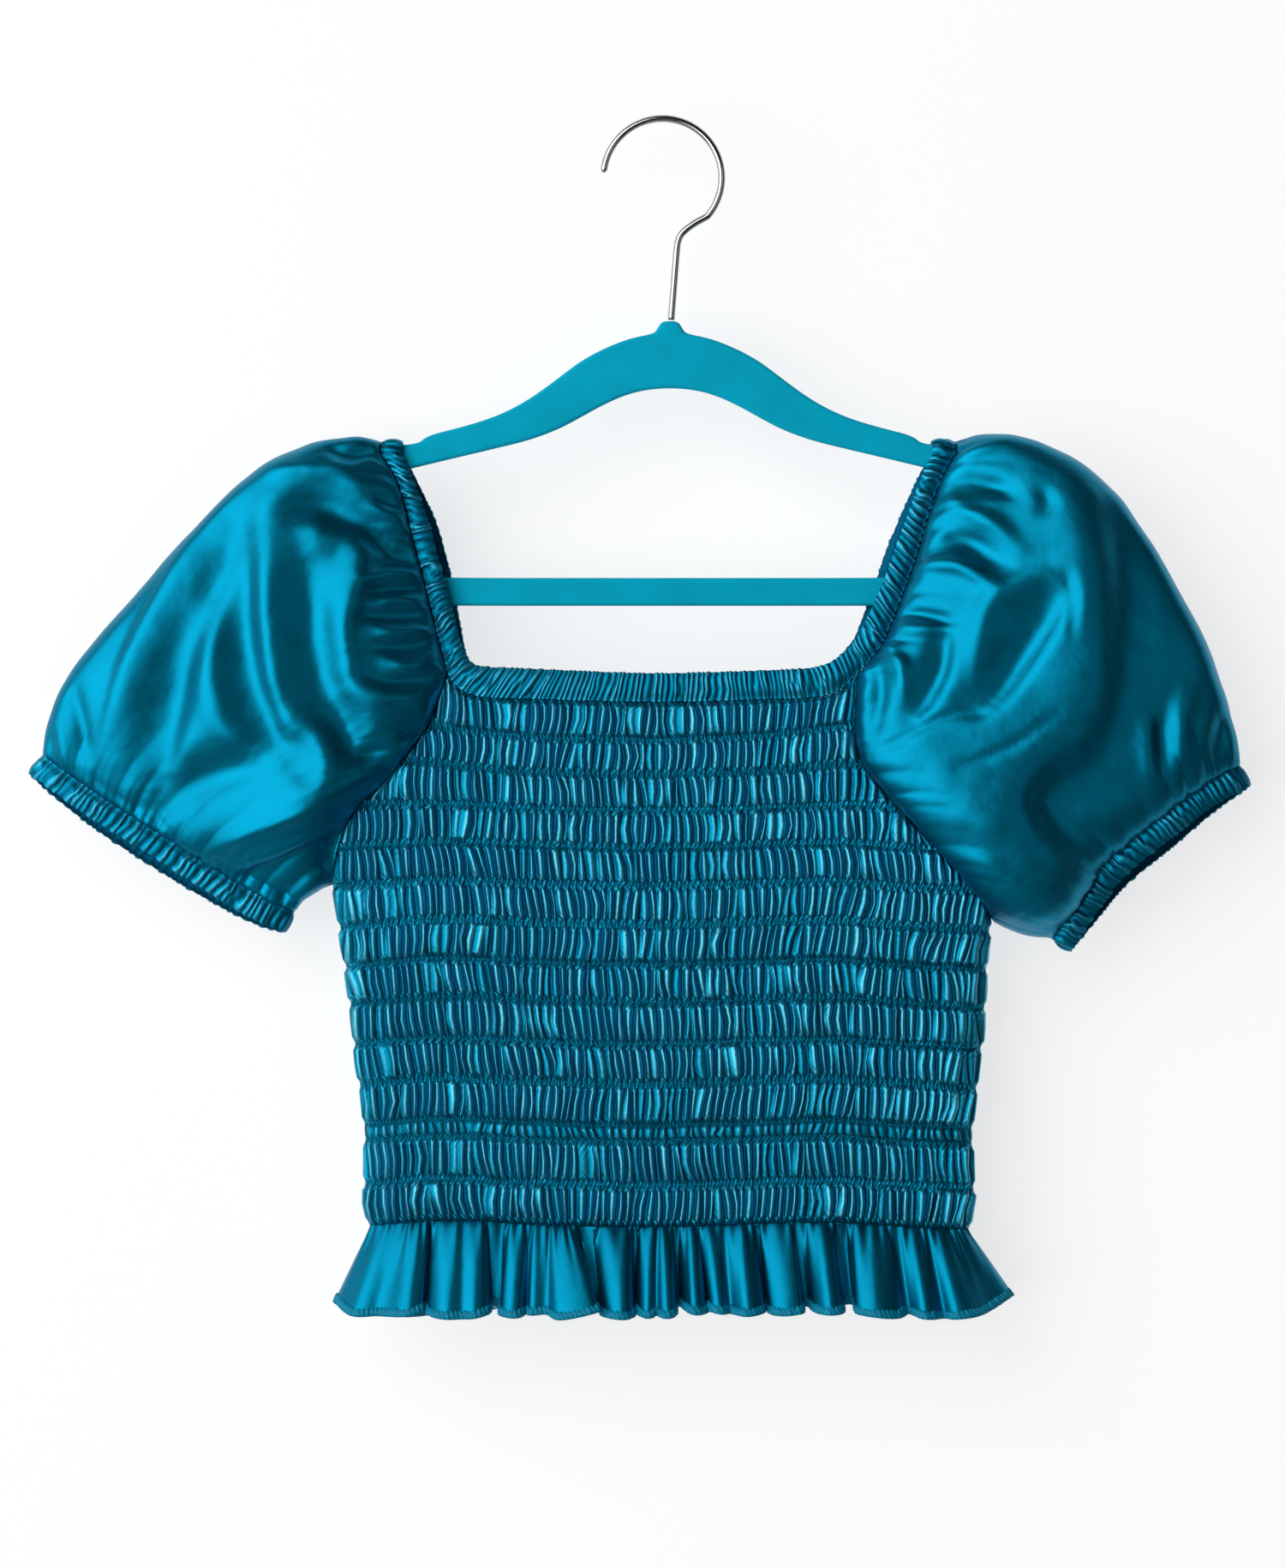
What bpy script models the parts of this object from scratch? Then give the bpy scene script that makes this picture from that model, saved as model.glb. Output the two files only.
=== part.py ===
"""Smocked ruffle top in satin, hanging on a slim flocked hanger with a wire hook.

The origin is the highest point inside the hook's bend, where it hangs on a rail. +Z is up and the
front of the top faces -Y. Lengths below are millimetres, and everything is scaled to metres at the end.
Every cloth piece is a thin wall: an inner surface with the garment's form and an outer surface moved
out from it by the cloth's thickness and its gathers.
"""

import math

import bmesh
import bpy
import numpy as np

MM = 0.001

# Cloth thicknesses and seams
SATIN = 1.2
SEAM_HALF_GAP = 0.2
SIDE_SEAM_HALF_GAP = 0.15
CASING_THIN = 2.1
CASING_THICK = 3.4
CUFF_WIDTH = 11.5
CUFF_GATHERS = 13

# The body tube: a flattened oval, rounder than an ellipse at its sides. Above the underarms it is only
# the form that the panels, straps and armholes lie on.
OVAL_POWER = 2.6
BODY = {
    "z": (-513.8, -503, -487, -471, -455, -439, -423, -407, -391, -372.2, -354.6, -340, -322, -150),
    "centre": (2.9, 2.9, 3.0, 2.7, 2.8, 2.4, 2.6, 2.2, 1.5, 1.0, 0.8, 1.0, 2.0, 2.5),
    "half": (141.3, 143.6, 142.6, 142.8, 144.4, 146.4, 148.2, 149.6, 150.8, 153.2, 156.4, 163, 170, 174),
    "depth": (13.0, 13.3, 13.7, 14.1, 14.4, 14.5, 14.4, 14.2, 13.9, 13.7, 13.5, 12.9, 12.2, 5.8),
}

# Shirring lines from the neck seam down, and the folds that they gather on each panel
SHIRRING_Z = (
    -269.4, -284.6, -302.2, -319.8, -337.0, -354.6, -372.2, -391.0,
    -409.0, -428.2, -446.6, -465.0, -472.2, -492.6, -513.8,
)
LEAST_PUFF = 10
FOLDS_PER_PANEL = 30
FOLD_RISE = 1.5
PUFF_RISE = 1.6
INNER_COLUMN_STEP = 5
INNER_ROW_STEP = 4

# Seam lines in the plane of the garment, as (x, z), straps from the shoulder down
LEFT_STRAP = {
    "seam": (
        (-131.5, -154.8), (-126, -163), (-121, -175), (-115.6, -197), (-111, -214), (-106, -235),
        (-102.6, -248), (-100, -258),
    ),
    "edge": (
        (-121.2, -154.8), (-118.4, -161), (-113.2, -174.5), (-108.6, -187), (-104.3, -203), (-99.8, -220),
        (-96.2, -234), (-91.8, -248.4),
    ),
}
RIGHT_STRAP = {
    "seam": (
        (136.6, -154.8), (132.8, -161), (128, -172), (122.6, -188), (119, -201), (114.6, -213.6),
        (104, -240.5), (97, -251), (90.5, -258),
    ),
    "edge": (
        (125.6, -154.8), (122, -162), (116.8, -176), (112, -189), (107.4, -201), (103, -213.6),
        (93, -236), (88.6, -243), (84.4, -247.4),
    ),
}
NECK_SEAM = (
    (-100, -258), (-97, -262.6), (-91.6, -266.4), (-84, -268.6), (-69, -269.4), (-5, -271), (50, -269.8),
    (69, -269), (78, -267.4), (85, -263.8), (90.5, -258),
)
NECK_EDGE = (
    (-91.8, -248.4), (-89.8, -251.6), (-86.8, -253.6), (-80, -254.6), (-69, -255), (-5, -257.4), (50, -256),
    (66, -255.2), (74.4, -253.8), (80.2, -251), (84.4, -247.4),
)
NECK_CORNER_DROP = 0.7
LEFT_ARMHOLE = {
    "z": (-354.6, -340, -328, -318.6, -310.6, -301.4, -292.2, -283.8, -272.6, -258),
    "x": (-153.6, -151.4, -147.4, -141, -131.8, -123.4, -116.6, -109.8, -105.4, -100),
}
RIGHT_ARMHOLE = {
    "z": (-372.2, -360.6, -350.2, -337.8, -321.8, -310.6, -300, -290, -279.8, -258),
    "x": (154, 147.4, 138, 126.6, 110.6, 101, 92.5, 89.6, 89.2, 90.5),
}
UNDERARM_OUT = (0.7, 0, -1.75)
STRAP_STATIONS = 12
STRAP_GATHERS = 6
NECK_GATHERS = 12
SHOULDER_STEP_DEG = 30
BACK_STRAP_SHIFT = 3.4

# Each sleeve: its upper edge after the shoulder, its short edge after the underarm, and its cuff seam
LEFT_SLEEVE = {
    "top": (
        (-145, -147.6), (-168, -153), (-195, -168.5), (-220, -192), (-248, -224), (-275, -257),
        (-286, -280), (-288.5, -295.5),
    ),
    "under": ((-163, -361), (-172.5, -367.5)),
    "cuff": (
        (-288.5, -295.5), (-259, -316), (-233.5, -332), (-207.5, -348.5), (-186, -361.5), (-172.5, -367.5),
    ),
    "puff": 19.0,
    "cuff_depth": 6.5,
}
RIGHT_SLEEVE = {
    "top": (
        (151, -146.8), (178, -152), (204, -168), (224, -192), (242, -224), (257, -256), (266, -284),
        (268.5, -300),
    ),
    "under": ((168, -377.5), (181.5, -380)),
    "cuff": ((268.5, -300), (250, -310), (229.5, -325.5), (208, -343), (194.5, -360), (181.5, -380)),
    "puff": 21.0,
    "cuff_depth": 6.5,
}
SLEEVE_ROWS = (0.0, 0.07, 0.18, 0.34, 0.52, 0.7, 0.86, 0.95, 1.0)
SLEEVE_FADE = (0, 1, 0.6, 0.2, 0, 0.2, 0.6, 1, 0)
SLEEVE_GATHERS = 13
SLEEVE_GATHER = 1.3

# Hem ruffle: where the valleys between its folds lie on the front, at the hem
RUFFLE_VALLEYS_X = (-154.5, -110, -77, -57, -31, -11, 9, 23, 47, 66, 86, 110, 135, 160.5)
RUFFLE_TOP_Z = -514.1
RUFFLE_HEM_Z = -555.5
RUFFLE_FLARE = 15.5
RUFFLE_DEPTH_GAIN = 5.0
RUFFLE_WAVE = 6.5
RUFFLE_POINTS_PER_FOLD = 6
RUFFLE_ROWS = (0.0, 0.3, 1.0)

# Hanger: half outline from the neck boss outwards, as (x from its centre, z)
HANGER_CENTRE_X = 3.4
HANGER_THICKNESS = 5.0
HANGER_EDGE_RADIUS = 1.9
HANGER_TOP = (
    (0, -92.8), (4.0, -93.2), (6.0, -96.6), (7.6, -98.8), (18.4, -100.8), (30.3, -105.4),
    (41.3, -111.3), (50.5, -118.2), (59.7, -125.2), (68.8, -131.2), (78, -135.9), (87.2, -139.4),
    (99, -142.8), (113.5, -146.4), (118, -150.7), (138, -150.7), (150, -154.6), (170, -161),
    (183, -167), (189, -175), (188, -187), (181, -200), (168, -214), (152, -223), (138, -225.8),
    (0, -225.8),
)
HANGER_GAP = (
    (0, -124), (12, -125), (22, -127.8), (32, -132.4), (42, -138), (52, -143.4), (66, -148.6),
    (82.6, -152.6), (113.8, -160), (140, -166.4), (164, -172.6), (174, -178), (175, -187),
    (168, -198), (154, -208), (138, -212.8), (0, -212.8),
)

# Hook wire
WIRE_RADIUS = 1.7
BEND_RADIUS = 27.6
BEND_CENTRE_Z = -(BEND_RADIUS - WIRE_RADIUS)
BEND_START_DEG = 175
BEND_END_DEG = -41
BEND_STEP_DEG = 9
SHANK = ((14.4, -47.6), (9.2, -51.8), (7.2, -55.8), (6.4, -62.2), (4.0, -92.3))

COLOURS = {
    "satin": ((0.0, 0.155, 0.215, 1), 0.32, 0.0),
    "velvet": ((0.0, 0.32, 0.45, 1), 0.95, 0.0),
    "chrome": ((0.72, 0.72, 0.74, 1), 0.12, 1.0),
}


def smooth_path(points, count):
    """Evenly spaced points on a Catmull-Rom curve through the given points."""
    given = np.array(points, float)
    ends = np.vstack([2 * given[0] - given[1], given, 2 * given[-1] - given[-2]])
    t = np.linspace(0, 1, 24, endpoint=False)[:, None]
    dense = []
    for a, b, c, d in zip(ends[:-3], ends[1:-2], ends[2:-1], ends[3:]):
        bend, twist = 2 * a - 5 * b + 4 * c - d, 3 * b - a - 3 * c + d
        dense.append(0.5 * (2 * b + (c - a) * t + bend * t**2 + twist * t**3))
    return resample(np.vstack(dense + [given[-1:]]), np.linspace(0, 1, count))


def resample(line, shares):
    """Points at the given shares of a polyline's length."""
    far = length_along(line)
    wanted = np.asarray(shares) * far[-1]
    return np.column_stack([np.interp(wanted, far, values) for values in line.T])


def length_along(line):
    steps = np.linalg.norm(np.diff(line, axis=0), axis=1)
    return np.concatenate([[0.0], np.cumsum(steps)])


def body_centre(z):
    return np.interp(z, BODY["z"], BODY["centre"])


def body_half_width(z):
    """Half width of the body's inner surface, which lies inside the gathered silhouette."""
    return np.interp(z, BODY["z"], BODY["half"]) - SATIN - PUFF_RISE


def depth_at(x, z):
    """How far the cloth's inner surface lies from the middle plane."""
    deep = np.interp(z, BODY["z"], BODY["depth"])
    across = np.clip(np.abs((x - body_centre(z)) / body_half_width(z)), 0, 1)
    return deep * (1 - across**OVAL_POWER) ** (1 / OVAL_POWER)


def outward(x, z, face):
    """Unit direction out of the body's oval at a point of its front or back."""
    step = 0.05
    slope = (depth_at(x + step, z) - depth_at(x - step, z)) / (2 * step)
    out = np.column_stack([-slope, np.full_like(slope, face), np.zeros_like(slope)])
    return out / np.linalg.norm(out, axis=1)[:, None]


def half_section(z, left_x, right_x, count):
    """Evenly spaced points (x, depth) round half the body's oval at one height, between two edges."""
    half = body_half_width(z)
    x = body_centre(z) + half * np.sin(np.linspace(-math.pi / 2, math.pi / 2, 1441))
    x = np.concatenate([[left_x], x[(x > left_x + 0.01) & (x < right_x - 0.01)], [right_x]])
    return resample(np.column_stack([x, depth_at(x, np.full_like(x, z))]), np.linspace(0, 1, count))


def flat_normals(line):
    """Unit vectors in the plane of the garment, to the right of a line's direction."""
    along = np.gradient(line, axis=0)
    along /= np.linalg.norm(along, axis=1)[:, None]
    return np.column_stack([along[:, 1], -along[:, 0]])


def unevenness(a, b):
    """A repeatable number from -1 to 1 for gather a in row b."""
    return math.sin(12.9898 * a + 78.233 * b + 3.1 * math.sin(a * 0.7 + b))


def panel_rows():
    """A panel's rows below the neck seam as (z, puff): each puff's middle, and the shirring line under it."""
    rows = []
    for above, below in zip(SHIRRING_Z, SHIRRING_Z[1:]):
        if above - below > LEAST_PUFF:
            rows.append(((above + below) / 2, min(1.0, (above - below) / 15)))
        rows.append((below, 0.0))
    return rows


def panel_edges(z):
    """Where the panel's left and right edges lie at a height: the armholes, and below them the side seams."""
    centre, half = body_centre(z), body_half_width(z)
    left = np.interp(z, LEFT_ARMHOLE["z"], LEFT_ARMHOLE["x"]) if z > LEFT_ARMHOLE["z"][0] else -math.inf
    right = np.interp(z, RIGHT_ARMHOLE["z"], RIGHT_ARMHOLE["x"]) if z > RIGHT_ARMHOLE["z"][0] else math.inf
    return max(left, centre - half), min(right, centre + half)


def armhole_line(side):
    """The armhole from below the neck corner to the underarm, with a point at each row of the panel."""
    lowest = (LEFT_ARMHOLE if side < 0 else RIGHT_ARMHOLE)["z"][0]
    return np.array([(panel_edges(z)[0 if side < 0 else 1], z) for z, _ in panel_rows() if z > lowest - 0.01])


def strap_line(side, part):
    """The strap's seam or free edge from the shoulder down to the neck corner."""
    return smooth_path((LEFT_STRAP if side < 0 else RIGHT_STRAP)[part], STRAP_STATIONS + 1)


def back_shifted(line):
    """On the back the straps lie a little nearer the neck, apart from their two ends."""
    share = np.clip((line[:, 1] + 154.8) / -93.2, 0, 1)
    moved = line.copy()
    moved[:, 0] -= np.sign(line[:, 0]) * BACK_STRAP_SHIFT * np.sin(math.pi * share)
    return moved


def shoulder_arc(x, z, sense):
    """Points over the shoulder between front and back, and the directions that face outwards there."""
    radius = float(depth_at(x, z))
    angles = np.radians(np.arange(SHOULDER_STEP_DEG, 180, SHOULDER_STEP_DEG))
    out = np.column_stack([np.zeros_like(angles), -sense * np.cos(angles), np.sin(angles)])
    return np.array([x, 0, z]) + radius * out, out


def in_space(line, face):
    """Points of a flat line set on the cloth's inner surface. face is -1 on the front and 1 on the back."""
    return np.column_stack([line[:, 0], face * depth_at(line[:, 0], line[:, 1]), line[:, 1]])


def seam_out(line, face):
    """The direction through the cloth at a seam. Near the underarm it turns down, between body and sleeve."""
    out = outward(line[:, 0], line[:, 1], face)
    side = math.copysign(1, line[-1, 0])
    underarm = np.array([side * UNDERARM_OUT[0], 0, UNDERARM_OUT[2]])
    lowest = (LEFT_ARMHOLE if side < 0 else RIGHT_ARMHOLE)["z"][0]
    share = (np.clip(1 - (line[:, 1] - lowest) / 22, 0, 1) ** 1.5)[:, None]
    return out * (1 - share) + underarm * share


def gather_wave(count, gathers):
    """Heights from 0 to 1 along a row of points, with one rise for each gather."""
    phase = np.linspace(0, gathers, count)
    uneven = np.array([1 + 0.15 * unevenness(math.floor(p), gathers) for p in phase])
    return np.sin(math.pi * (phase % 1)) * uneven


def zip_between(a, b, points):
    """Triangles of the strip between two rows of point numbers that may differ in count."""
    reach_a = length_along(points[a])
    reach_b = length_along(points[b])
    reach_a, reach_b = reach_a / reach_a[-1], reach_b / reach_b[-1]
    faces, i, j = [], 0, 0
    while i < len(a) - 1 or j < len(b) - 1:
        go_a = j == len(b) - 1 or (i < len(a) - 1 and reach_a[i + 1] <= reach_b[j + 1])
        faces.append((a[i], b[j], a[i + 1]) if go_a else (a[i], b[j], b[j + 1]))
        i, j = (i + 1, j) if go_a else (i, j + 1)
    return faces


def strip_faces(a, b, points, wrap):
    """Faces between two rows of point numbers, joined round where they wrap."""
    if wrap:
        a, b = np.append(a, a[0]), np.append(b, b[0])
    if len(a) == len(b):
        return [(a[i], b[i], b[i + 1], a[i + 1]) for i in range(len(a) - 1)]
    return zip_between(a, b, points)


def cloth_wall(name, outer, inner, wrap, material):
    """A closed wall between an outer and an inner surface. Each is a list of rows of points."""
    points = np.vstack([*outer, *inner])
    ends = np.cumsum([0] + [len(row) for row in (*outer, *inner)])
    rows = [np.arange(a, b) for a, b in zip(ends, ends[1:])]
    out_rows, in_rows = rows[: len(outer)], rows[len(outer) :]
    faces = []
    for a, b in zip(out_rows, out_rows[1:]):
        faces += strip_faces(a, b, points, wrap)
    for a, b in zip(in_rows, in_rows[1:]):
        faces += strip_faces(b, a, points, wrap)
    faces += strip_faces(in_rows[0], out_rows[0], points, wrap)
    faces += strip_faces(out_rows[-1], in_rows[-1], points, wrap)
    if not wrap:
        for end in (0, -1):
            side_out = np.array([row[end] for row in out_rows])
            side_in = np.array([row[end] for row in in_rows])
            faces += strip_faces(side_out, side_in, points, False)
    return mesh_object(name, points, faces, material)


def mesh_object(name, points, faces, material):
    """A named object from points in millimetres, with its faces turned outwards."""
    mesh = bpy.data.meshes.new(name)
    corners = [tuple(int(n) for n in face) for face in faces]
    mesh.from_pydata([tuple(p) for p in np.asarray(points) * MM], [], corners)
    work = bmesh.new()
    work.from_mesh(mesh)
    bmesh.ops.recalc_face_normals(work, faces=work.faces)
    work.to_mesh(mesh)
    work.free()
    mesh.shade_smooth()
    return add_part(bpy.data.objects.new(name, mesh), material)


def add_part(part, material):
    part.data.materials.append(bpy.data.materials[material])
    bpy.data.collections["smocked_ruffle_top"].objects.link(part)
    return part


def make_bodice_panel(name, face):
    """One shirred panel. Between shirring lines the cloth puffs out, and gathers run down it as folds."""
    columns = 2 * FOLDS_PER_PANEL + 1
    rows = panel_rows()
    top = smooth_path(NECK_SEAM, columns)
    top = top + flat_normals(top) * SEAM_HALF_GAP
    top[0], top[-1] = np.array(NECK_SEAM[0]), np.array(NECK_SEAM[-1])
    top[[0, -1], 1] -= NECK_CORNER_DROP
    base, out = [in_space(top, face)], [outward(top[:, 0], top[:, 1], face) * SATIN]
    for row, (z, puff) in enumerate(rows):
        left, right = panel_edges(z)
        in_armhole = (z > LEFT_ARMHOLE["z"][0] - 0.01, z > RIGHT_ARMHOLE["z"][0] - 0.01)
        left, right = left + SEAM_HALF_GAP * in_armhole[0], right - SEAM_HALF_GAP * in_armhole[1]
        section = half_section(z, left, right, columns)
        line = np.column_stack([section[:, 0], np.full(columns, z)])
        away = outward(line[:, 0], line[:, 1], face)
        ridge = np.arange(columns) % 2 * np.array([1 + 0.22 * unevenness(c, row) for c in range(columns)])
        rise = SATIN + puff * (PUFF_RISE * 0.5 + FOLD_RISE * ridge)
        rise[0] = rise[-1] = SATIN + puff * PUFF_RISE
        away *= rise[:, None]
        for end, side in ((0, -1), (-1, 1)):
            if in_armhole[end]:
                away[end] = seam_out(line[[end]], face)[0] * SATIN
            else:
                away[end] = (side * rise[end], 0, 0)
        base.append(np.column_stack([section[:, 0], face * section[:, 1], line[:, 1]]))
        out.append(away)
    base, out = np.array(base), np.array(out)
    base[:, :, 1] += face * SIDE_SEAM_HALF_GAP
    underarm = 1 + sum(z > LEFT_ARMHOLE["z"][0] - 0.01 for z, _ in rows)
    rows_kept = sorted({*range(underarm), *range(underarm, len(base), INNER_ROW_STEP), len(base) - 1})
    inner = [base[0]] + [base[r][::INNER_COLUMN_STEP] for r in rows_kept[1:]]
    return cloth_wall(name, list(base + out), inner, False, "satin")


def casing_half(face):
    """Stations of the neck casing on the front or back: seam point, free edge point, out, gather height."""
    lines = []
    for part, neck in (("seam", NECK_SEAM), ("edge", NECK_EDGE)):
        middle = smooth_path(neck, 2 * FOLDS_PER_PANEL + 1)
        line = np.vstack([strap_line(-1, part)[:-1], middle, strap_line(1, part)[::-1][1:]])
        lines.append(back_shifted(line) if face > 0 else line)
    seam, edge = lines
    across = edge - seam
    seam = seam + across / np.linalg.norm(across, axis=1)[:, None] * SEAM_HALF_GAP
    strap = gather_wave(STRAP_STATIONS + 1, STRAP_GATHERS)
    rise = np.concatenate([strap[:-1], gather_wave(2 * FOLDS_PER_PANEL + 1, NECK_GATHERS), strap[::-1][1:]])
    return in_space(seam, face), in_space(edge, face), outward(seam[:, 0], seam[:, 1], face), rise


def make_neck_casing():
    """The gathered elastic casing round the neck, over both shoulders, as one closed loop."""
    seams, edges, outs, rises = [], [], [], []
    for face, order in ((-1, 1), (1, -1)):
        seam, edge, out, rise = (part[::order] for part in casing_half(face))
        arc_seam, arc_out = shoulder_arc(seam[-1][0], seam[-1][2], -face)
        arc_edge, _ = shoulder_arc(edge[-1][0], edge[-1][2], -face)
        seams += [seam, arc_seam]
        edges += [edge, arc_edge]
        outs += [out, arc_out]
        rises += [rise, np.zeros(len(arc_seam))]
    seam, edge, out = np.vstack(seams), np.vstack(edges), np.vstack(outs)
    ridge = (CASING_THIN + (CASING_THICK - CASING_THIN) * np.concatenate(rises))[:, None]
    middle = seam * 0.5 + edge * 0.5
    outer = [seam + out * CASING_THIN * 0.75, middle + out * ridge, edge + out * CASING_THIN * 0.75]
    return cloth_wall("neck_casing", outer, [seam, edge], True, "satin")


def sleeve_seam(side):
    """The two halves of the ring where a sleeve is sewn on, each from over the shoulder to the underarm."""
    halves = []
    for face in (-1, 1):
        strap = strap_line(side, "seam")
        if face > 0:
            strap = back_shifted(strap)
        line = np.vstack([strap, armhole_line(side)])
        away = flat_normals(line) * -side
        away[-1] = (side, 0.5)
        moved = line + away * SEAM_HALF_GAP
        points = in_space(moved, face)
        out = seam_out(line, face)
        points[-1, 1] = out[-1, 1] = 0
        arc, arc_out = shoulder_arc(points[0][0], points[0][2], -face)
        over = len(arc) // 2 + 1
        halves.append((np.vstack([arc[:over][::-1], points]), np.vstack([arc_out[:over][::-1], out])))
    return halves


def sleeve_halves(side, rows):
    """Front and back as grids of inner points: rows from armhole to cuff, columns shoulder to underarm."""
    table = LEFT_SLEEVE if side < 0 else RIGHT_SLEEVE
    made = []
    for face, (seam, out) in zip((-1, 1), sleeve_seam(side)):
        top = resample(smooth_path([tuple(seam[0, [0, 2]]), *table["top"]], 200), rows)
        under = resample(smooth_path([tuple(seam[-1, [0, 2]]), *table["under"]], 60), rows)
        across = length_along(seam) / length_along(seam)[-1]
        cuff = resample(smooth_path(table["cuff"], 200), across)
        bow = np.sqrt(np.clip(1 - (2 * across - 1) ** 2, 0, 1))
        grid = []
        for r, t in enumerate(rows):
            ends = (1 - t) * seam[:, [0, 2]] + t * cuff
            flat = ends + (1 - across)[:, None] * (top[r] - ends[0]) + across[:, None] * (under[r] - ends[-1])
            swell = table["puff"] * math.sin(math.pi * t**0.75) ** 0.75 if 0 < t < 1 else 0
            deep = (1 - t) * np.abs(seam[:, 1]) + (t * table["cuff_depth"] + swell) * bow
            grid.append(np.column_stack([flat[:, 0], face * deep, flat[:, 1]]))
        made.append((np.array(grid), out))
    return made


def ring_of(front, back):
    """Joins a front and a back half, which share their first and last columns, into one ring of columns."""
    return np.concatenate([front, back[:, -2:0:-1]], axis=1)


def facing_out(directions, points):
    """Unit directions, turned so that they point away from the middle of their rows of points."""
    middle = points.mean(axis=-2, keepdims=True)
    sense = 1 if (directions * (points - middle)).sum() > 0 else -1
    return sense * directions / np.maximum(np.linalg.norm(directions, axis=-1, keepdims=True), 1e-9)


def grid_normals(ring):
    """Outward directions of a ring grid that wraps round its columns."""
    along = np.roll(ring, -1, axis=1) - np.roll(ring, 1, axis=1)
    return facing_out(np.cross(along, np.gradient(ring, axis=0)), ring)


def cuff_frame(side, halves):
    """The ring where sleeve and cuff meet, the direction down the cuff, and the direction out of it."""
    table = LEFT_SLEEVE if side < 0 else RIGHT_SLEEVE
    ring = ring_of(halves[0][0], halves[1][0])[-1]
    line = smooth_path(table["cuff"], 200)
    normals = flat_normals(line) * -side
    near = [int(np.argmin(np.linalg.norm(line - p[[0, 2]], axis=1))) for p in ring]
    down = np.column_stack([normals[near, 0], np.zeros(len(ring)), normals[near, 1]])
    tangent = np.roll(ring, -1, axis=0) - np.roll(ring, 1, axis=0)
    return ring, down, facing_out(np.cross(tangent, down), ring)


def make_sleeve(name, side):
    """A puff sleeve, gathered into the neck casing and armhole at one end and into the cuff at the other."""
    halves = sleeve_halves(side, SLEEVE_ROWS)
    inner = ring_of(halves[0][0], halves[1][0])
    out = grid_normals(inner)
    out[0] = ring_of(halves[0][1][None], halves[1][1][None])[0]
    out[-1] = cuff_frame(side, halves)[2]
    above_underarm = np.clip((inner[0, :, 2] - inner[0, :, 2].min()) / 25, 0, 1)
    wave = (gather_wave(inner.shape[1] + 1, SLEEVE_GATHERS)[:-1] * above_underarm)[None, :, None]
    rise = SATIN + SLEEVE_GATHER * np.array(SLEEVE_FADE)[:, None, None] * wave
    return cloth_wall(name, list(inner + out * rise), list(inner), True, "satin")


def make_cuff(name, side):
    """The gathered elastic casing at a sleeve's end."""
    ring, down, out = cuff_frame(side, sleeve_halves(side, (0.9, 1.0)))
    ridge = CASING_THIN + (CASING_THICK - CASING_THIN) * gather_wave(len(ring) + 1, CUFF_GATHERS)[:-1, None]
    start = ring + down * 2 * SEAM_HALF_GAP
    middle = ring + down * CUFF_WIDTH * 0.5
    end = ring + down * CUFF_WIDTH
    outer = [start + out * SATIN, middle + out * ridge, end + out * CASING_THIN * 0.8]
    return cloth_wall(name, outer, [start, end], True, "satin")


def ruffle_half(face, drop):
    """Inner points of half the ruffle at a share of its drop."""
    valleys = np.array(RUFFLE_VALLEYS_X)
    folds = len(valleys) - 1
    phase = np.linspace(0, folds, folds * RUFFLE_POINTS_PER_FOLD + 1)
    share = (np.interp(phase, np.arange(folds + 1), valleys) - valleys[0]) / (valleys[-1] - valleys[0])
    centre, half = body_centre(SHIRRING_Z[-1]), body_half_width(SHIRRING_Z[-1])
    section = resample(half_section(SHIRRING_Z[-1], centre - half, centre + half, 400), share)
    x = centre + (section[:, 0] - centre) * (1 + RUFFLE_FLARE / half * drop**0.8)
    lobe = np.abs(np.sin(math.pi * phase)) ** 0.8 * 2 - 1
    steady = np.array([0.85 + 0.25 * unevenness(math.floor(p), 5 + face) for p in phase])
    free = np.clip(np.minimum(phase, folds - phase) / 0.5, 0, 1)
    wave = RUFFLE_WAVE * drop**0.7 * lobe * steady * free
    deep = section[:, 1] * (1 + RUFFLE_DEPTH_GAIN / BODY["depth"][0] * drop)
    deep = np.maximum(deep + wave * np.clip(deep / 8, 0, 1), deep * 0.45)
    z = RUFFLE_TOP_Z + (RUFFLE_HEM_Z - RUFFLE_TOP_Z) * drop + 1.2 * drop * lobe * free
    return np.column_stack([x, face * deep, z])


def make_ruffle():
    """The hem ruffle: the cloth left free below the last shirring line, opening into folds all round."""
    front, back = (np.array([ruffle_half(face, drop) for drop in RUFFLE_ROWS]) for face in (-1, 1))
    inner = ring_of(front, back)
    out = grid_normals(inner)
    out[:, :, 2] = 0
    out /= np.linalg.norm(out, axis=2, keepdims=True)
    return cloth_wall("hem_ruffle", list(inner + out * SATIN), list(inner), True, "satin")


def outline_spline(curve, half):
    """A closed outline from its right half, mirrored about the hanger's centre."""
    left = [(-x, z) for x, z in half[::-1] if x > 0]
    points = [*half, *left]
    spline = curve.splines.new("POLY")
    spline.points.add(len(points) - 1)
    for point, (x, z) in zip(spline.points, points):
        point.co = (x * MM, z * MM, 0, 1)
    spline.use_cyclic_u = True


def make_hanger():
    """A flat slim hanger with rounded edges, a neck boss, strap notches and a lower bar."""
    curve = bpy.data.curves.new("hanger", "CURVE")
    curve.dimensions = "2D"
    curve.fill_mode = "BOTH"
    curve.extrude = (HANGER_THICKNESS / 2 - HANGER_EDGE_RADIUS) * MM
    curve.bevel_depth = HANGER_EDGE_RADIUS * MM
    curve.bevel_resolution = 1
    curve.offset = -HANGER_EDGE_RADIUS * MM
    outline_spline(curve, HANGER_TOP)
    outline_spline(curve, HANGER_GAP)
    hanger = bpy.data.objects.new("hanger", curve)
    hanger.rotation_euler = (math.pi / 2, 0, 0)
    hanger.location = (HANGER_CENTRE_X * MM, 0, 0)
    return add_part(hanger, "velvet")


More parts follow.
